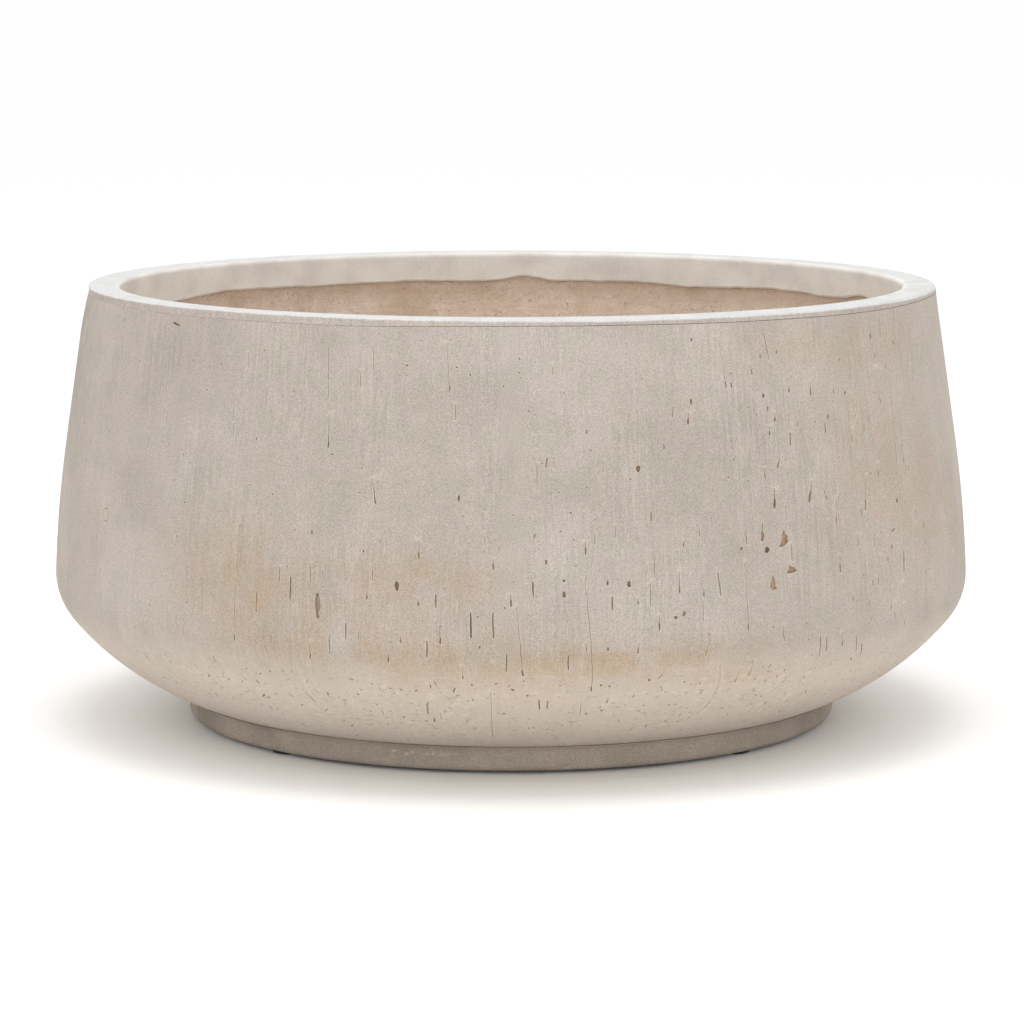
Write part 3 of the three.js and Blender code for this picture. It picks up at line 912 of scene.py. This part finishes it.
# Notes which half-millimetre cells of the sheet a mark covers, and says whether they were free.
class Room:
    def __init__(self, wide, high):
        self.cell = 0.5
        self.corner = (-wide / 2, 0)
        self.taken = np.zeros((int(wide / self.cell) + 2, int(high / self.cell) + 2), bool)

    def take(self, loops):
        halo = np.array([p for p, _, _ in loops[0][1]])
        centre = halo.mean(axis=0)
        spots = []
        for a, b in zip(halo, np.roll(halo, -1, axis=0)):
            count = max(2, int(np.linalg.norm(b - a) / 0.3))
            spots += [a + (b - a) * i / count for i in range(count)]
        spots += [p for _, loop in loops[1:] for p, _, _ in loop]
        if np.ptp(halo[:, 0]) > 3:
            spots += [centre + (s - centre) * share for s in list(spots) for share in (0.2, 0.4, 0.6, 0.8)]
        cells = np.round((np.array(spots) - self.corner) / self.cell).astype(int)
        outside = (cells < (5, 4)).any() or (cells >= np.array(self.taken.shape) - 5).any()
        if outside or self.taken[tuple(cells.T)].any():
            return False
        self.taken[tuple(cells.T)] = True
        return True


def straightCourse(bearing, height, length, lean):
    middle = onSheet(bearing, height)
    lean = math.radians(lean)
    ahead = np.array([-math.sin(lean) * squeezeAt(middle[1]), math.cos(lean)])
    return [middle - ahead * length / 2, middle + ahead * length / 2]


def allMarks():
    draw = random.Random(face["seed"])
    room = Room(turn * face["radius"], faceUps[-1])
    course = [onSheet(*spot) for spot in gouge["course"]]
    marks = [layMark("crease", course, gouge["width"], gouge["depth"], draw)]
    for kind, rows in handMarks.items():
        for bearing, height, length, width, depth, lean in rows:
            if kind == "ring":
                marks.append(layRing(onSheet(bearing, height), length, depth, draw))
            else:
                course = straightCourse(bearing, height, length, lean)
                marks.append(layMark(kind, course, width, depth, draw))
    laid = [mark for mark in marks if room.take(mark[0])]
    missed = len(marks) - len(laid)
    for count, kind, bearings, heights, spans, widths, depths, leans in strewnMarks:
        placed = tries = 0
        while placed < count and tries < 30 * count:
            tries += 1
            bearing = (draw.uniform(*bearings) + 180) % 360 - 180
            length = spans[0] + (spans[1] - spans[0]) * draw.random() ** 1.6
            width = min(draw.uniform(*widths), length)
            course = straightCourse(bearing, draw.uniform(*heights), length, draw.uniform(*leans))
            mark = layMark(kind, course, width, draw.uniform(*depths), draw)
            if room.take(mark[0]):
                laid.append(mark)
                placed += 1
    print("marks laid", len(laid), "hand-placed marks that overlapped another", missed)
    return laid


def insideLoop(points, loop):
    inside = np.zeros(len(points), bool)
    for a, b in zip(loop, np.roll(loop, -1, axis=0)):
        spans = (a[1] > points[:, 1]) != (b[1] > points[:, 1])
        if spans.any():
            cross = a[0] + (points[spans, 1] - a[1]) / (b[1] - a[1]) * (b[0] - a[0])
            inside[np.flatnonzero(spans)[points[spans, 0] < cross]] ^= True
    return inside


# The outer face as a flat triangulated sheet, fine round the marks and coarse between them. Each point has its
# depth, how far it is inside a pit, how near a rim for the painted highlight, and its tone with painted shade.
def markedFace(columns):
    high = faceUps[-1]
    rows = max(2, round(high / face["rowStep"]))
    across = np.linspace(-math.pi, math.pi, columns + 1) * face["radius"]
    x, y = np.meshgrid(across, np.linspace(0, high, rows + 1))
    grid = np.stack([x.ravel(), y.ravel()], axis=1)
    keep = np.ones(len(grid), bool)
    points, given, links = [], [], []
    for loops, stain, tone in allMarks():
        halo = np.array([p for p, _, _ in loops[0][1]])
        near = np.flatnonzero(((grid > halo.min(axis=0) - 1) & (grid < halo.max(axis=0) + 1)).all(axis=1))
        keep[near[insideLoop(grid[near], halo)]] = False
        for label, loop in loops:
            start = len(points)
            count = len(loop)
            for spot, sink, shade in loop:
                points.append(spot)
                # A rim point is flagged for the painted highlight on the lip; its tone carries the painted
                # shade.
                given.append((sink, stain if sink > 0 else 0.0, 1.0 if label == "rim" else 0.0, tone + shade))
            if label in ("rim", "wall"):
                links += [(start + i, start + (i + 1) % count) for i in range(count)]
    grid = grid[keep]
    shift = len(grid)
    flat = [Vector(p) for p in grid] + [Vector(p) for p in points]
    links = [(a + shift, b + shift) for a, b in links]
    verts, _, faces, origins, _, _ = delaunay_2d_cdt(flat, links, [], 0, 0.0001)
    given = np.array(given)
    values = np.zeros((len(verts), given.shape[1]))
    for i, origin in enumerate(origins):
        marked = [o - shift for o in origin if o >= shift]
        if marked:
            values[i] = given[marked].max(axis=0)
    # A point where two outlines cross takes the mean of the points around it.
    crossings = {i for i, origin in enumerate(origins) if not origin}
    around = {i: [] for i in crossings}
    for tri in faces:
        for a in crossings.intersection(tri):
            around[a] += [values[b] for b in tri if b not in crossings]
    for a, near in around.items():
        values[a] = sum(near) / max(len(near), 1)
    print("face points", len(verts), "triangles", len(faces), "crossings", len(crossings))
    return np.array(verts), faces, values


shell = {
    "thickness": 10.0,
    "holeRadius": 15.3,
    "innerStep": 12.0,
    "floorStep": 14.0,
    "unevenness": 0.35,
    "swell": 26.0,
    "seed": 4.0,
    "crease": math.radians(33),
    "jointReach": 12,  # how far down the face the joint's rise fades out
    "evenEdge": 8,  # how far from its edges the face is even
    # Below this height the face turns paler: partly dusty cement, partly painted light on the shaded underside.
    "paleBelow": 86,
    "paleFade": 26,
}


def shellPiece():
    low = bowl["shellBase"]
    columns = bowl["flats"]
    inner = bowlFace(shell["thickness"], low + shell["thickness"], shellTop, shell["innerStep"])
    bottom = straight(point(shell["holeRadius"], low), outerFace[0], shell["floorStep"])
    floor = straight(inner[0], point(shell["holeRadius"], low + shell["thickness"]), shell["floorStep"])
    section = [*bottom, *outerFace[1:], *inner[::-1], *floor[1:], bottom[0]]
    faceStart = lengths(bottom)[-1]
    faceEnd = faceStart + faceUps[-1]

    # The plain part: the underside, then everything past the top of the outer face.
    ups = lengths(section)
    across = np.linspace(-math.pi, math.pi, columns + 1)
    verts, faces = [], []
    for rows in (ups[: len(bottom)], ups[len(bottom) + len(outerFace) - 2 :]):
        faces += gridFaces(len(rows), columns, len(verts))
        verts += [(x, y, 0.0) for y in rows for x in across]
    start = len(verts)
    marked, triangles, values = markedFace(columns)
    verts += [(u / face["radius"], v + faceStart, 0.0) for u, v in marked]
    faces += [tuple(start + i for i in tri) for tri in triangles]

    verts = np.array(verts)
    bearings = np.degrees(verts[:, 0])
    up = verts[:, 1]
    onFace = np.arange(len(verts)) >= start
    atTop = np.abs(up - faceEnd) < 0.01
    fromTop = np.where(atTop, 0.0, np.where(onFace, faceEnd - up, 99.0))
    fromFoot = np.where(onFace, up - faceStart, 0.0)
    innerTop = (up > faceEnd + 1) & (np.abs(up - faceEnd - shell["thickness"]) < 0.6)
    fade = np.clip(1 - fromTop / shell["jointReach"], 0, 1) ** 2
    rise = (jointRise(bearings) + jointClosing(bearings)) * fade
    heights = np.interp(up - faceStart, faceUps, faceHeights)
    worn = shoulderWear(bearings, heights) * (onFace | atTop)
    heights = heights - bowl["padHeight"]
    inset, pit, edge, tone = np.vstack([np.zeros((start, values.shape[1])), values]).T
    floats = {
        "rise": np.where(innerTop, 0.0, rise) * mm,
        "loose": np.clip(np.minimum(fromTop - 1, fromFoot) / shell["evenEdge"], 0, 1) * onFace,
        "inset": inset * mm,
        "worn": worn * mm,
        "pit": pit,
        "edge": edge,
        "tone": tone,
        "warmth": patchesAt(warmPatches, bearings, heights) * onFace,
        "dimness": patchesAt(dimPatches, bearings, heights) * onFace,
        # The paler low band: partly dusty cement, partly painted light on the shaded underside.
        "lowBand": np.clip((shell["paleBelow"] - heights) / shell["paleFade"], 0, 1) * onFace,
    }
    sheet = meshObject("shell sheet", verts * (1.0, mm, 1.0), (), faces, floats)
    return wrapPiece("cast_shell", sheet, section, concreteMaterial(), shell, bowl["wallLean"])


lining = {
    "depth": 10.3,
    "thickness": 8.0,
    "step": 5.0,
    "backStep": 14.0,
    "underStep": 20.0,
    "evenRadius": 30,  # round the drain
    "unevenness": 0.9,
    "swell": 60.0,
    "seed": 9.0,
    "crease": math.radians(50),
}


def liningPiece():
    low = bowl["shellBase"] + lining["depth"]
    floorTop = low + lining["thickness"]
    outer = bowlFace(lining["depth"], low, shellTop, lining["backStep"])
    inner = bowlFace(lining["depth"] + lining["thickness"], floorTop, shellTop, lining["step"])
    bottom = straight(point(shell["holeRadius"], low), outer[0], lining["underStep"])
    floor = straight(inner[0], point(shell["holeRadius"], floorTop), lining["step"])
    section = [*bottom, *outer[1:], *inner[::-1], *floor[1:], bottom[0]]

    # Only the face that shows, inside and on the floor, is uneven.
    def loose(p, bearings):
        if p[1] > shellTop - 2 or p[0] < lining["evenRadius"]:
            return 0.0
        onFloor = abs(p[1] - low - lining["thickness"]) < 0.01
        fromOuter = min(np.linalg.norm(p - q) for q in outer)
        return 1.0 if onFloor or fromOuter > lining["thickness"] - 1 else 0.0

    sheet = plainSheet(section, bowl["flats"], {}, {"loose": loose})
    finish = liningMaterial(lengths([*bottom, *outer[1:], inner[-1]])[-1] * mm)
    return wrapPiece("inner_lining", sheet, section, finish, lining)


fibres = {
    "perSquareMetre": 2300.0,
    "length": 15.0,
    "thick": 0.28,
    "bow": 1.4,
    "sides": 3,
    "steps": 5,
    "swing": 0.7,  # radians off the bowl's round, either way
    "least": (0.45, -1.0, 0.8),
    "most": (1.3, 1.0, 1.2),
    "seed": 12,
    "dark": colour(196, 172, 150),
    "light": colour(238, 226, 212),
}


# Strews short curved strands over the face of a piece, mostly lying round the bowl.
def fibreTree():
    numbers = {label: "Float" for label in ("Density", "Length", "Thickness", "Bow")}
    tree = GrowTree("strewFibres", {"Surface": "Object", **numbers, "Seed": "Int"})
    given = tree.given
    strewing = {
        "Mesh": tree.shape("Surface"),
        "Selection": tree.calc("GREATER_THAN", tree.attribute("loose"), 0.5),
        "Density": given["Density"],
        "Seed": given["Seed"],
    }
    points = tree.add("GeometryNodeDistributePointsOnFaces", strewing).outputs
    half = tree.times(given["Length"], 0.5)
    sunk = tree.times(given["Thickness"], -0.6)
    course = {
        "Resolution": fibres["steps"],
        "Start": tree.vector(tree.times(half, -1.0), 0.0, sunk),
        "Middle": tree.vector(0.0, given["Bow"], tree.times(given["Thickness"], 1.6)),
        "End": tree.vector(half, 0.0, sunk),
    }
    strand = tree.out("GeometryNodeCurveQuadraticBezier", course)
    ring = tree.circle(fibres["sides"], given["Thickness"])
    tube = tree.out("GeometryNodeCurveToMesh", {"Curve": strand, "Profile Curve": ring, "Fill Caps": True})
    # Each strand starts along the bowl's round, facing the surface, then swings a little.
    place = tree.place()
    bearing = tree.calc("ARCTAN2", place["Y"], place["X"])
    across = tree.vector(tree.calc("SINE", bearing), tree.times(tree.calc("COSINE", bearing), -1.0), 0.0)
    axes = {"Primary Axis": points["Normal"], "Secondary Axis": across}
    facing = tree.out("FunctionNodeAxesToRotation", axes, primary_axis="Z", secondary_axis="X")
    swings = {"Min": -fibres["swing"], "Max": fibres["swing"], "Seed": given["Seed"]}
    swing = tree.add("FunctionNodeRandomValue", swings, data_type="FLOAT").outputs[1]
    spin = tree.out("FunctionNodeAxisAngleToRotation", {"Axis": (0.0, 0.0, 1.0), "Angle": swing})
    turns = {"Rotation": facing, "Rotate By": spin}
    turned = tree.out("FunctionNodeRotateRotation", turns, rotation_space="LOCAL")
    scales = {"Min": fibres["least"], "Max": fibres["most"], "Seed": given["Seed"]}
    size = tree.out("FunctionNodeRandomValue", scales, data_type="FLOAT_VECTOR")
    placing = {"Points": points["Points"], "Instance": tube, "Rotation": turned, "Scale": size}
    return tree.end(tree.out("GeometryNodeInstanceOnPoints", placing))


def fibrePiece(surface):
    values = {
        "Surface": surface,
        "Density": fibres["perSquareMetre"],
        "Length": fibres["length"] * mm,
        "Thickness": fibres["thick"] * mm,
        "Bow": fibres["bow"] * mm,
        "Seed": fibres["seed"],
        "Crease": math.pi,
        "Finish": plainMaterial("fibre", fibres["dark"], fibres["light"], 40, 0.8, 0.0),
    }
    return grow("lining_fibres", fibreTree(), values)


rim = {
    "outerRound": 2.6,
    "innerRound": 2.8,
    "backDepth": 18.6,
    "faceDepth": 21.6,
    "apronDepth": 21.0,
    "edgeRound": 1.2,
    # The waver of the apron's lower edge: height, waves round the bowl and where they start.
    "waver": ((0.5, 11, 0), (0.17, 31, 1.3), (0.12, 53, 4.0), (0.09, 97, 2.1), (0.08, 141, 0)),
    # Swells of it: rise, bearing and spread.
    "swells": (
        (4.2, 88, 3.2), (3.0, 22, 4.5), (-2.6, 154, 9), (-1.6, 34, 5), (-1.4, 60, 5), (2.1, 236, 12),
        (-2.3, 301, 10),
    ),
    "unevenness": 0.22,
    "swell": 17.0,
    "seed": 2.0,
    "crease": math.radians(35),
}


def apronRise(bearing):
    around = np.radians(bearing)
    total = sum(height * np.sin(waves * around + start) for height, waves, start in rim["waver"])
    for rise, middle, spread in rim["swells"]:
        total = total + rise * hump(bearing, middle, spread)
    return total


def rimPiece():
    lean = bowl["wallLean"]
    top = bowl["rimTop"]
    foot = top - rim["apronDepth"]
    faceFoot = foot + rim["edgeRound"]
    back, front = rim["backDepth"], rim["faceDepth"]
    outerRound, innerRound = rim["outerRound"], rim["innerRound"]
    outerMiddle = onWall(outerRound, top - outerRound)
    innerMiddle = onWall(front - innerRound, top - innerRound)
    section = [
        *straight(onWall(back, foot), onWall(back, lipFoot), 4),
        *straight(onWall(back, lipFoot), onWall(0, lipFoot), 6)[1:],
        *straight(onWall(0, lipFoot), along(outerMiddle, outerRound, lean), 1.0)[1:],
        *arc(outerMiddle, outerRound, lean, math.pi / 2, 0.6)[1:],
        *straight(outerMiddle + point(0, outerRound), innerMiddle + point(0, innerRound), 3.0)[1:],
        *arc(innerMiddle, innerRound, math.pi / 2, math.pi + lean, 0.8)[1:],
        *straight(along(innerMiddle, innerRound, math.pi + lean), onWall(front, faceFoot), 2.5)[1:],
        onWall(front - rim["edgeRound"], foot),
    ]
    section.append(section[0])
    ups = lengths(section)
    sideEnd = ups[next(i for i, p in enumerate(section) if p[1] > top - 0.5)]
    apronStart = ups[next(i for i, p in enumerate(section) if p[0] < innerMiddle[0] and p[1] > top - 4)]

    def rise(p, bearings):
        if p[1] < lipFoot - 0.01:
            return apronRise(bearings) * np.clip((lipFoot - 2 - p[1]) / (lipFoot - 2 - faceFoot), 0, 1)
        low = np.clip((outerMiddle[1] - p[1]) / (outerMiddle[1] - lipFoot), 0, 1)
        outer = np.clip(1 - (wallRadius(0, p[1]) - p[0]) / shell["thickness"], 0, 1)
        return jointRise(bearings) * low * outer

    # The trowelled faces are uneven, while the outer side stays flush with the wall below it.
    def loose(p, bearings):
        return 1.0 if p[1] > top - 0.01 or p[0] < innerMiddle[0] and p[1] > foot + 3 else 0.0

    def worn(p, bearings):
        share = np.clip((top - p[1]) / outerRound, 0, 1) if p[0] > wallRadius(4.0, p[1]) else 0.0
        return shoulderWear(bearings, p[1]) * share

    sheet = plainSheet(section, bowl["flats"] * 2, {"rise": rise, "worn": worn}, {"loose": loose})
    return wrapPiece("rim_lip", sheet, section, rimMaterial(sideEnd * mm, apronStart * mm), rim, lean)


def turnPiece(name, section, segments, finish, closed=True, crease=math.radians(32)):
    line = sectionObject(name + " section", section, closed)
    values = {"Section": line, "Segments": segments, "Weld": weldDistance, "Crease": crease, "Finish": finish}
    made = grow(name, turnSection, values)
    bpy.data.objects.remove(line)
    return made


plinth = {
    "width": 26.0,
    "edgeRound": 4.5,
    "innerChamfer": 2.0,
    "cove": 5.0,
    "coveLip": 0.6,
    "columns": 720,
    "unevenness": 0.3,
    "swell": 34.0,
    "seed": 6.0,
    "crease": math.radians(32),
    # Chips in its outer side: bearing, height above the floor, half length and half height, depth.
    "chips": (
        (-80.7, 5.2, 3.6, 2.2, 1.4), (-112, 4.4, 2.4, 1.6, 0.8), (-47, 4.6, 3.0, 1.8, 1.0),
        (-63, 13.4, 1.8, 1.3, 0.7), (-100, 12.2, 1.6, 1.0, 0.5), (21, 4.8, 4.2, 2.2, 1.3),
        (77, 5.0, 2.6, 1.6, 0.9), (133, 4.6, 3.4, 2.0, 1.2), (168, 11.0, 2.0, 1.4, 0.7),
    ),
    # Pale scuffs on it: bearing, height, half length and half height.
    "scuffs": (
        (-112.6, 13.4, 1.6, 0.7), (-109.7, 13.0, 2.2, 0.8), (-107.4, 11.6, 1.8, 1.3),
        (-106.2, 13.1, 2.4, 0.9), (-104.3, 11.9, 2.8, 0.9), (-102.9, 12.6, 1.8, 1.2),
        (-101.2, 12.0, 3.2, 0.9), (-99.4, 13.0, 2.4, 0.8), (-58.5, 9.5, 2.6, 0.8), (-54.0, 8.2, 1.8, 0.9),
        (34.0, 12.2, 3.0, 0.9), (37.2, 11.2, 1.9, 1.1), (121.0, 10.4, 2.6, 0.9),
    ),
}


# How far inside an oval spot on the plinth's side a point lies: 1 in its middle and 0 at its edge.
def inSpot(p, bearings, bearing, height, wide, high):
    away = np.radians(awayFrom(bearings, bearing)) * bowl["footRadius"]
    return 1 - np.sqrt((away / wide) ** 2 + ((p[1] - height) / high) ** 2)


def plinthPiece():
    foot = bowl["footRadius"]
    base = bowl["padHeight"]
    inner = foot - plinth["width"]
    top = bowl["shellBase"] - bowl["bond"]
    chamfer, edge, cove = plinth["innerChamfer"], plinth["edgeRound"], plinth["cove"]
    tuck = math.pi / 2 - math.asin((undersideCentre[1] - bowl["shellBase"]) / bowl["undersideCurve"])
    reach = foot + cove * (1 - math.sin(tuck))
    drop = math.sqrt(bowl["undersideCurve"] ** 2 - (reach - undersideCentre[0]) ** 2)
    reachTop = undersideCentre[1] - drop - bowl["bond"]
    coveMiddle = point(foot + cove, reachTop - plinth["coveLip"] - cove * math.cos(tuck))
    section = [
        point(inner, base + chamfer),
        *straight(point(inner + chamfer, base), point(foot - edge, base), 5.0),
        *arc(point(foot - edge, base + edge), edge, -math.pi / 2, 0, 0.8)[1:],
        *straight(point(foot, base + edge), coveMiddle - point(cove, 0), 0.9)[1:],
        *arc(coveMiddle, cove, math.pi, math.pi / 2 + tuck, 0.7)[1:],
        point(reach, reachTop),
        point(foot, top),
        point(inner, top),
    ]
    section.append(section[0])

    def chipped(p, bearings):
        sunk = 0 * bearings
        if p[0] >= foot - edge - 0.5 and p[1] <= top - 0.8:
            for *spot, depth in plinth["chips"]:
                sunk = np.maximum(sunk, depth * np.clip(1.5 * inSpot(p, bearings, *spot), 0, 1))
        return sunk

    def loose(p, bearings):
        return 1.0 if p[0] > foot - edge + 0.5 and p[1] < 11 else 0.0

    def scuffed(p, bearings):
        share = 0 * bearings
        if p[0] >= foot - 1:
            for spot in plinth["scuffs"]:
                share = np.maximum(share, np.clip(1.6 * inSpot(p, bearings, *spot), 0, 1))
        return share

    sheet = plainSheet(section, plinth["columns"], {"inset": chipped}, {"loose": loose, "scuffed": scuffed})
    return wrapPiece("plinth", sheet, section, plinthMaterial(), plinth)


# A small half-round groove in a level top face, met from the outside in.
def groove(middle, radius):
    return arc(middle, radius, 0, -math.pi, radius / 2)


# A quarter round at the outer end of a level top face.
def topRound(radius, height, size, step):
    return arc((radius - size, height - size), size, 0, math.pi / 2, step)


sleeve = {
    "bore": 12.5,
    "wall": 2.5,
    "bottom": 13.3,
    "chamfer": 0.5,
    "flange": 21.0,
    "flangeBottom": 35.9,
    "flangeTop": 37.9,
    "flangeRound": 0.7,
    "boreRound": 0.6,
    "grooveInset": 1.8,
    "groove": 0.35,
}


def sleevePiece():
    bore, bottom, chamfer = sleeve["bore"], sleeve["bottom"], sleeve["chamfer"]
    flange, top, inner = sleeve["flange"], sleeve["flangeTop"], sleeve["boreRound"]
    outer = bore + sleeve["wall"]
    section = [
        (bore, bottom + chamfer),
        (bore + chamfer, bottom),
        (outer - chamfer, bottom),
        (outer, bottom + chamfer),
        (outer, sleeve["flangeBottom"]),
        (flange, sleeve["flangeBottom"]),
        *topRound(flange, top, sleeve["flangeRound"], 0.3),
        *groove((flange - sleeve["grooveInset"], top), sleeve["groove"]),
        *arc((bore + inner, top - inner), inner, math.pi / 2, math.pi, 0.3),
    ]
    finish = plainMaterial("sleeve", colour(120, 120, 118), colour(138, 138, 136), 300, 0.5, 0.15)
    return turnPiece("sleeve", section, 96, finish)


plug = {
    "stemFoot": 22.2,
    "stemChamfer": 0.6,
    "flangeBottom": 38.2,
    "flangeTop": 41.2,
    "neckTop": 49.2,
    "top": 54.2,
    "stemRadius": 12.2,
    "taper": 1.0,
    "flangeRadius": 17.5,
    "neckRadius": 4.0,
    "neckCove": 1.5,
    "knobRadius": 7.0,
    "knobChamfer": 0.5,
    "edgeRound": 1.2,
    "grooveInset": 3.2,
    "groove": 0.4,
    "ribs": 3,
    "ribRadius": 0.5,
    "ribSunk": 0.1,
    "ribStart": 25.5,
    "ribGap": 3.4,
    "dish": ((4.2, 0), (3.6, 0.5), (0, 0.7)),  # radius and depth of the hollow in the knob
}


def plugPiece():
    foot, stem, bevel = plug["stemFoot"], plug["stemRadius"], plug["stemChamfer"]
    under, top, flange = plug["flangeBottom"], plug["flangeTop"], plug["flangeRadius"]
    cove, neck, neckTop = plug["neckCove"], plug["neckRadius"] + plug["neckCove"], plug["neckTop"]
    knob, knobTop, chamfer = plug["knobRadius"], plug["top"], plug["knobChamfer"]
    footRadius = stem - plug["taper"]
    slope = plug["taper"] / (under - foot)
    ribs = []
    for i in range(plug["ribs"]):
        height = plug["ribStart"] + i * plug["ribGap"]
        middle = (footRadius + (height - foot) * slope - plug["ribSunk"], height)
        ribs += arc(middle, plug["ribRadius"], -math.pi / 2, math.pi / 2, 0.25)
    section = [
        (0, foot),
        (footRadius - bevel, foot),
        (footRadius, foot + bevel),
        *ribs,
        (stem, under),
        (flange, under),
        *topRound(flange, top, plug["edgeRound"], 0.4),
        *groove((flange - plug["grooveInset"], top), plug["groove"]),
        *arc((neck, top + cove), cove, -math.pi / 2, -math.pi, 0.4),
        *arc((neck, neckTop - cove), cove, math.pi, math.pi / 2, 0.4),
        (knob - chamfer, neckTop),
        (knob, neckTop + chamfer),
        *topRound(knob, knobTop, plug["edgeRound"], 0.4),
        *((radius, knobTop - depth) for radius, depth in plug["dish"]),
    ]
    finish = plainMaterial("rubber", colour(38, 38, 42), colour(52, 52, 56), 300, 0.72, 0.3)
    return turnPiece("plug", section, 72, finish, closed=False)


pad = {
    "radius": 9.0,
    "atRadius": 199.25,
    "count": 4,
    "first": 45.0,
    "round": 0.3,
    # Grooves in its underside: their radii, then half their width at the mouth and at the bottom, and depth.
    "grooves": (2.5, 4.5, 6.5),
    "grooveMouth": 0.5,
    "grooveBottom": 0.3,
    "grooveDepth": 0.6,
}


def padPieces():
    high, edge, outer = bowl["padHeight"], pad["round"], pad["radius"]
    mouth, bottom, depth = pad["grooveMouth"], pad["grooveBottom"], pad["grooveDepth"]
    section = [(0, 0)]
    for radius in pad["grooves"]:
        section += [(radius - mouth, 0), (radius - bottom, depth)]
        section += [(radius + bottom, depth), (radius + mouth, 0)]
    section += [(outer - edge, 0), (outer, edge), (outer, high - edge), (outer - edge, high), (0, high)]
    finish = plainMaterial("pad rubber", colour(40, 40, 42), colour(58, 58, 60), 300, 0.8, 0.3)
    pads = []
    for i in range(pad["count"]):
        made = turnPiece("pad_%d" % (i + 1), section, 48, finish, closed=False)
        bearing = math.radians(pad["first"]) + turn * i / pad["count"]
        offset = Vector((math.cos(bearing), math.sin(bearing), 0)) * pad["atRadius"] * mm
        for vertex in made.data.vertices:
            vertex.co += offset
        pads.append(made)
    return pads


turnSection = turnTree()
wrapSheet = wrapTree()
made = {
    "outer_shell": (shellPiece(), "bowl", "concrete"),
    "fibre_lining": (liningPiece(), "bowl", "lining"),
    "rim_cap": (rimPiece(), "bowl", "rim"),
    "plinth_ring": (plinthPiece(), "bowl", "plinth"),
    "drain_sleeve": (sleevePiece(), "bowl", "sleeve"),
    "drain_plug": (plugPiece(), "plug", "plug"),
}
strands = fibrePiece(made["fibre_lining"][0])
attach(strands, "bowl")
for index, padMade in enumerate(padPieces()):
    made["foot_pad_%d" % (index + 1)] = (padMade, "bowl", "pads")
for node, (piece, body, slotName) in made.items():
    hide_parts(node)
    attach(piece, body)
print("pieces fitted to their nodes", len(made))

scene = bpy.context.scene
scene.view_settings.view_transform = "Standard"
room = {"floorSize": 400.0, "floor": colour(254, 254, 254), "roughness": 0.9, "world": 1.0}


def stageRoom():
    bpy.ops.mesh.primitive_plane_add(size=room["floorSize"], location=(0, 0, 0))
    floor = bpy.context.object
    floor.name = "floor"
    paint = Paint("floor", room)
    paint.feed(paint.shader["Base Color"], room["floor"])
    floor.data.materials.append(paint.material)
    world = bpy.data.worlds.new("soft room")
    scene.world = world
    world.use_nodes = True
    background = world.node_tree.nodes["Background"].inputs
    background["Color"].default_value = (1, 1, 1, 1)
    background["Strength"].default_value = room["world"]
    floor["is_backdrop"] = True


# The lamps: place, the height of the axis that each looks at, size and power.
lamps = {
    "key": ((-1.7, -2.0, 1.9), 0.12, 1.8, 4),
    "fill": ((2.4, -1.8, 0.9), 0.12, 1.8, 2),
    "low": ((0.2, -2.7, 0.12), 0.1, 1.5, 10),
    "top": ((0, -0.2, 2.6), 0.1, 1.8, 24),
}


def stageLamps():
    for name, (place, aim, size, power) in lamps.items():
        data = bpy.data.lights.new(name, "AREA")
        data.size = size
        data.energy = power
        lamp = linked(name, data)
        lamp.location = place
        lamp.rotation_euler = (Vector((0, 0, aim)) - Vector(place)).to_track_quat("-Z", "Y").to_euler()
        lamp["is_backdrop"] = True


camera = {"place": (0.00066, -2.4967, 0.4894), "pitch": math.radians(8.138), "lens": 133.88, "sensor": 36.0}


def stageCamera():
    data = bpy.data.cameras.new("camera")
    data.lens = camera["lens"]
    data.sensor_width = camera["sensor"]
    shot = linked("camera", data)
    shot.location = camera["place"]
    shot.rotation_euler = (math.pi / 2 - camera["pitch"], 0, 0)
    scene.camera = shot


stageRoom()
stageLamps()
stageCamera()
print("room, lamps and camera set")

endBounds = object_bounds()
sizes = {"start": [list(v) for v in startBounds], "end": [list(v) for v in endBounds]}
print("size", sizes)
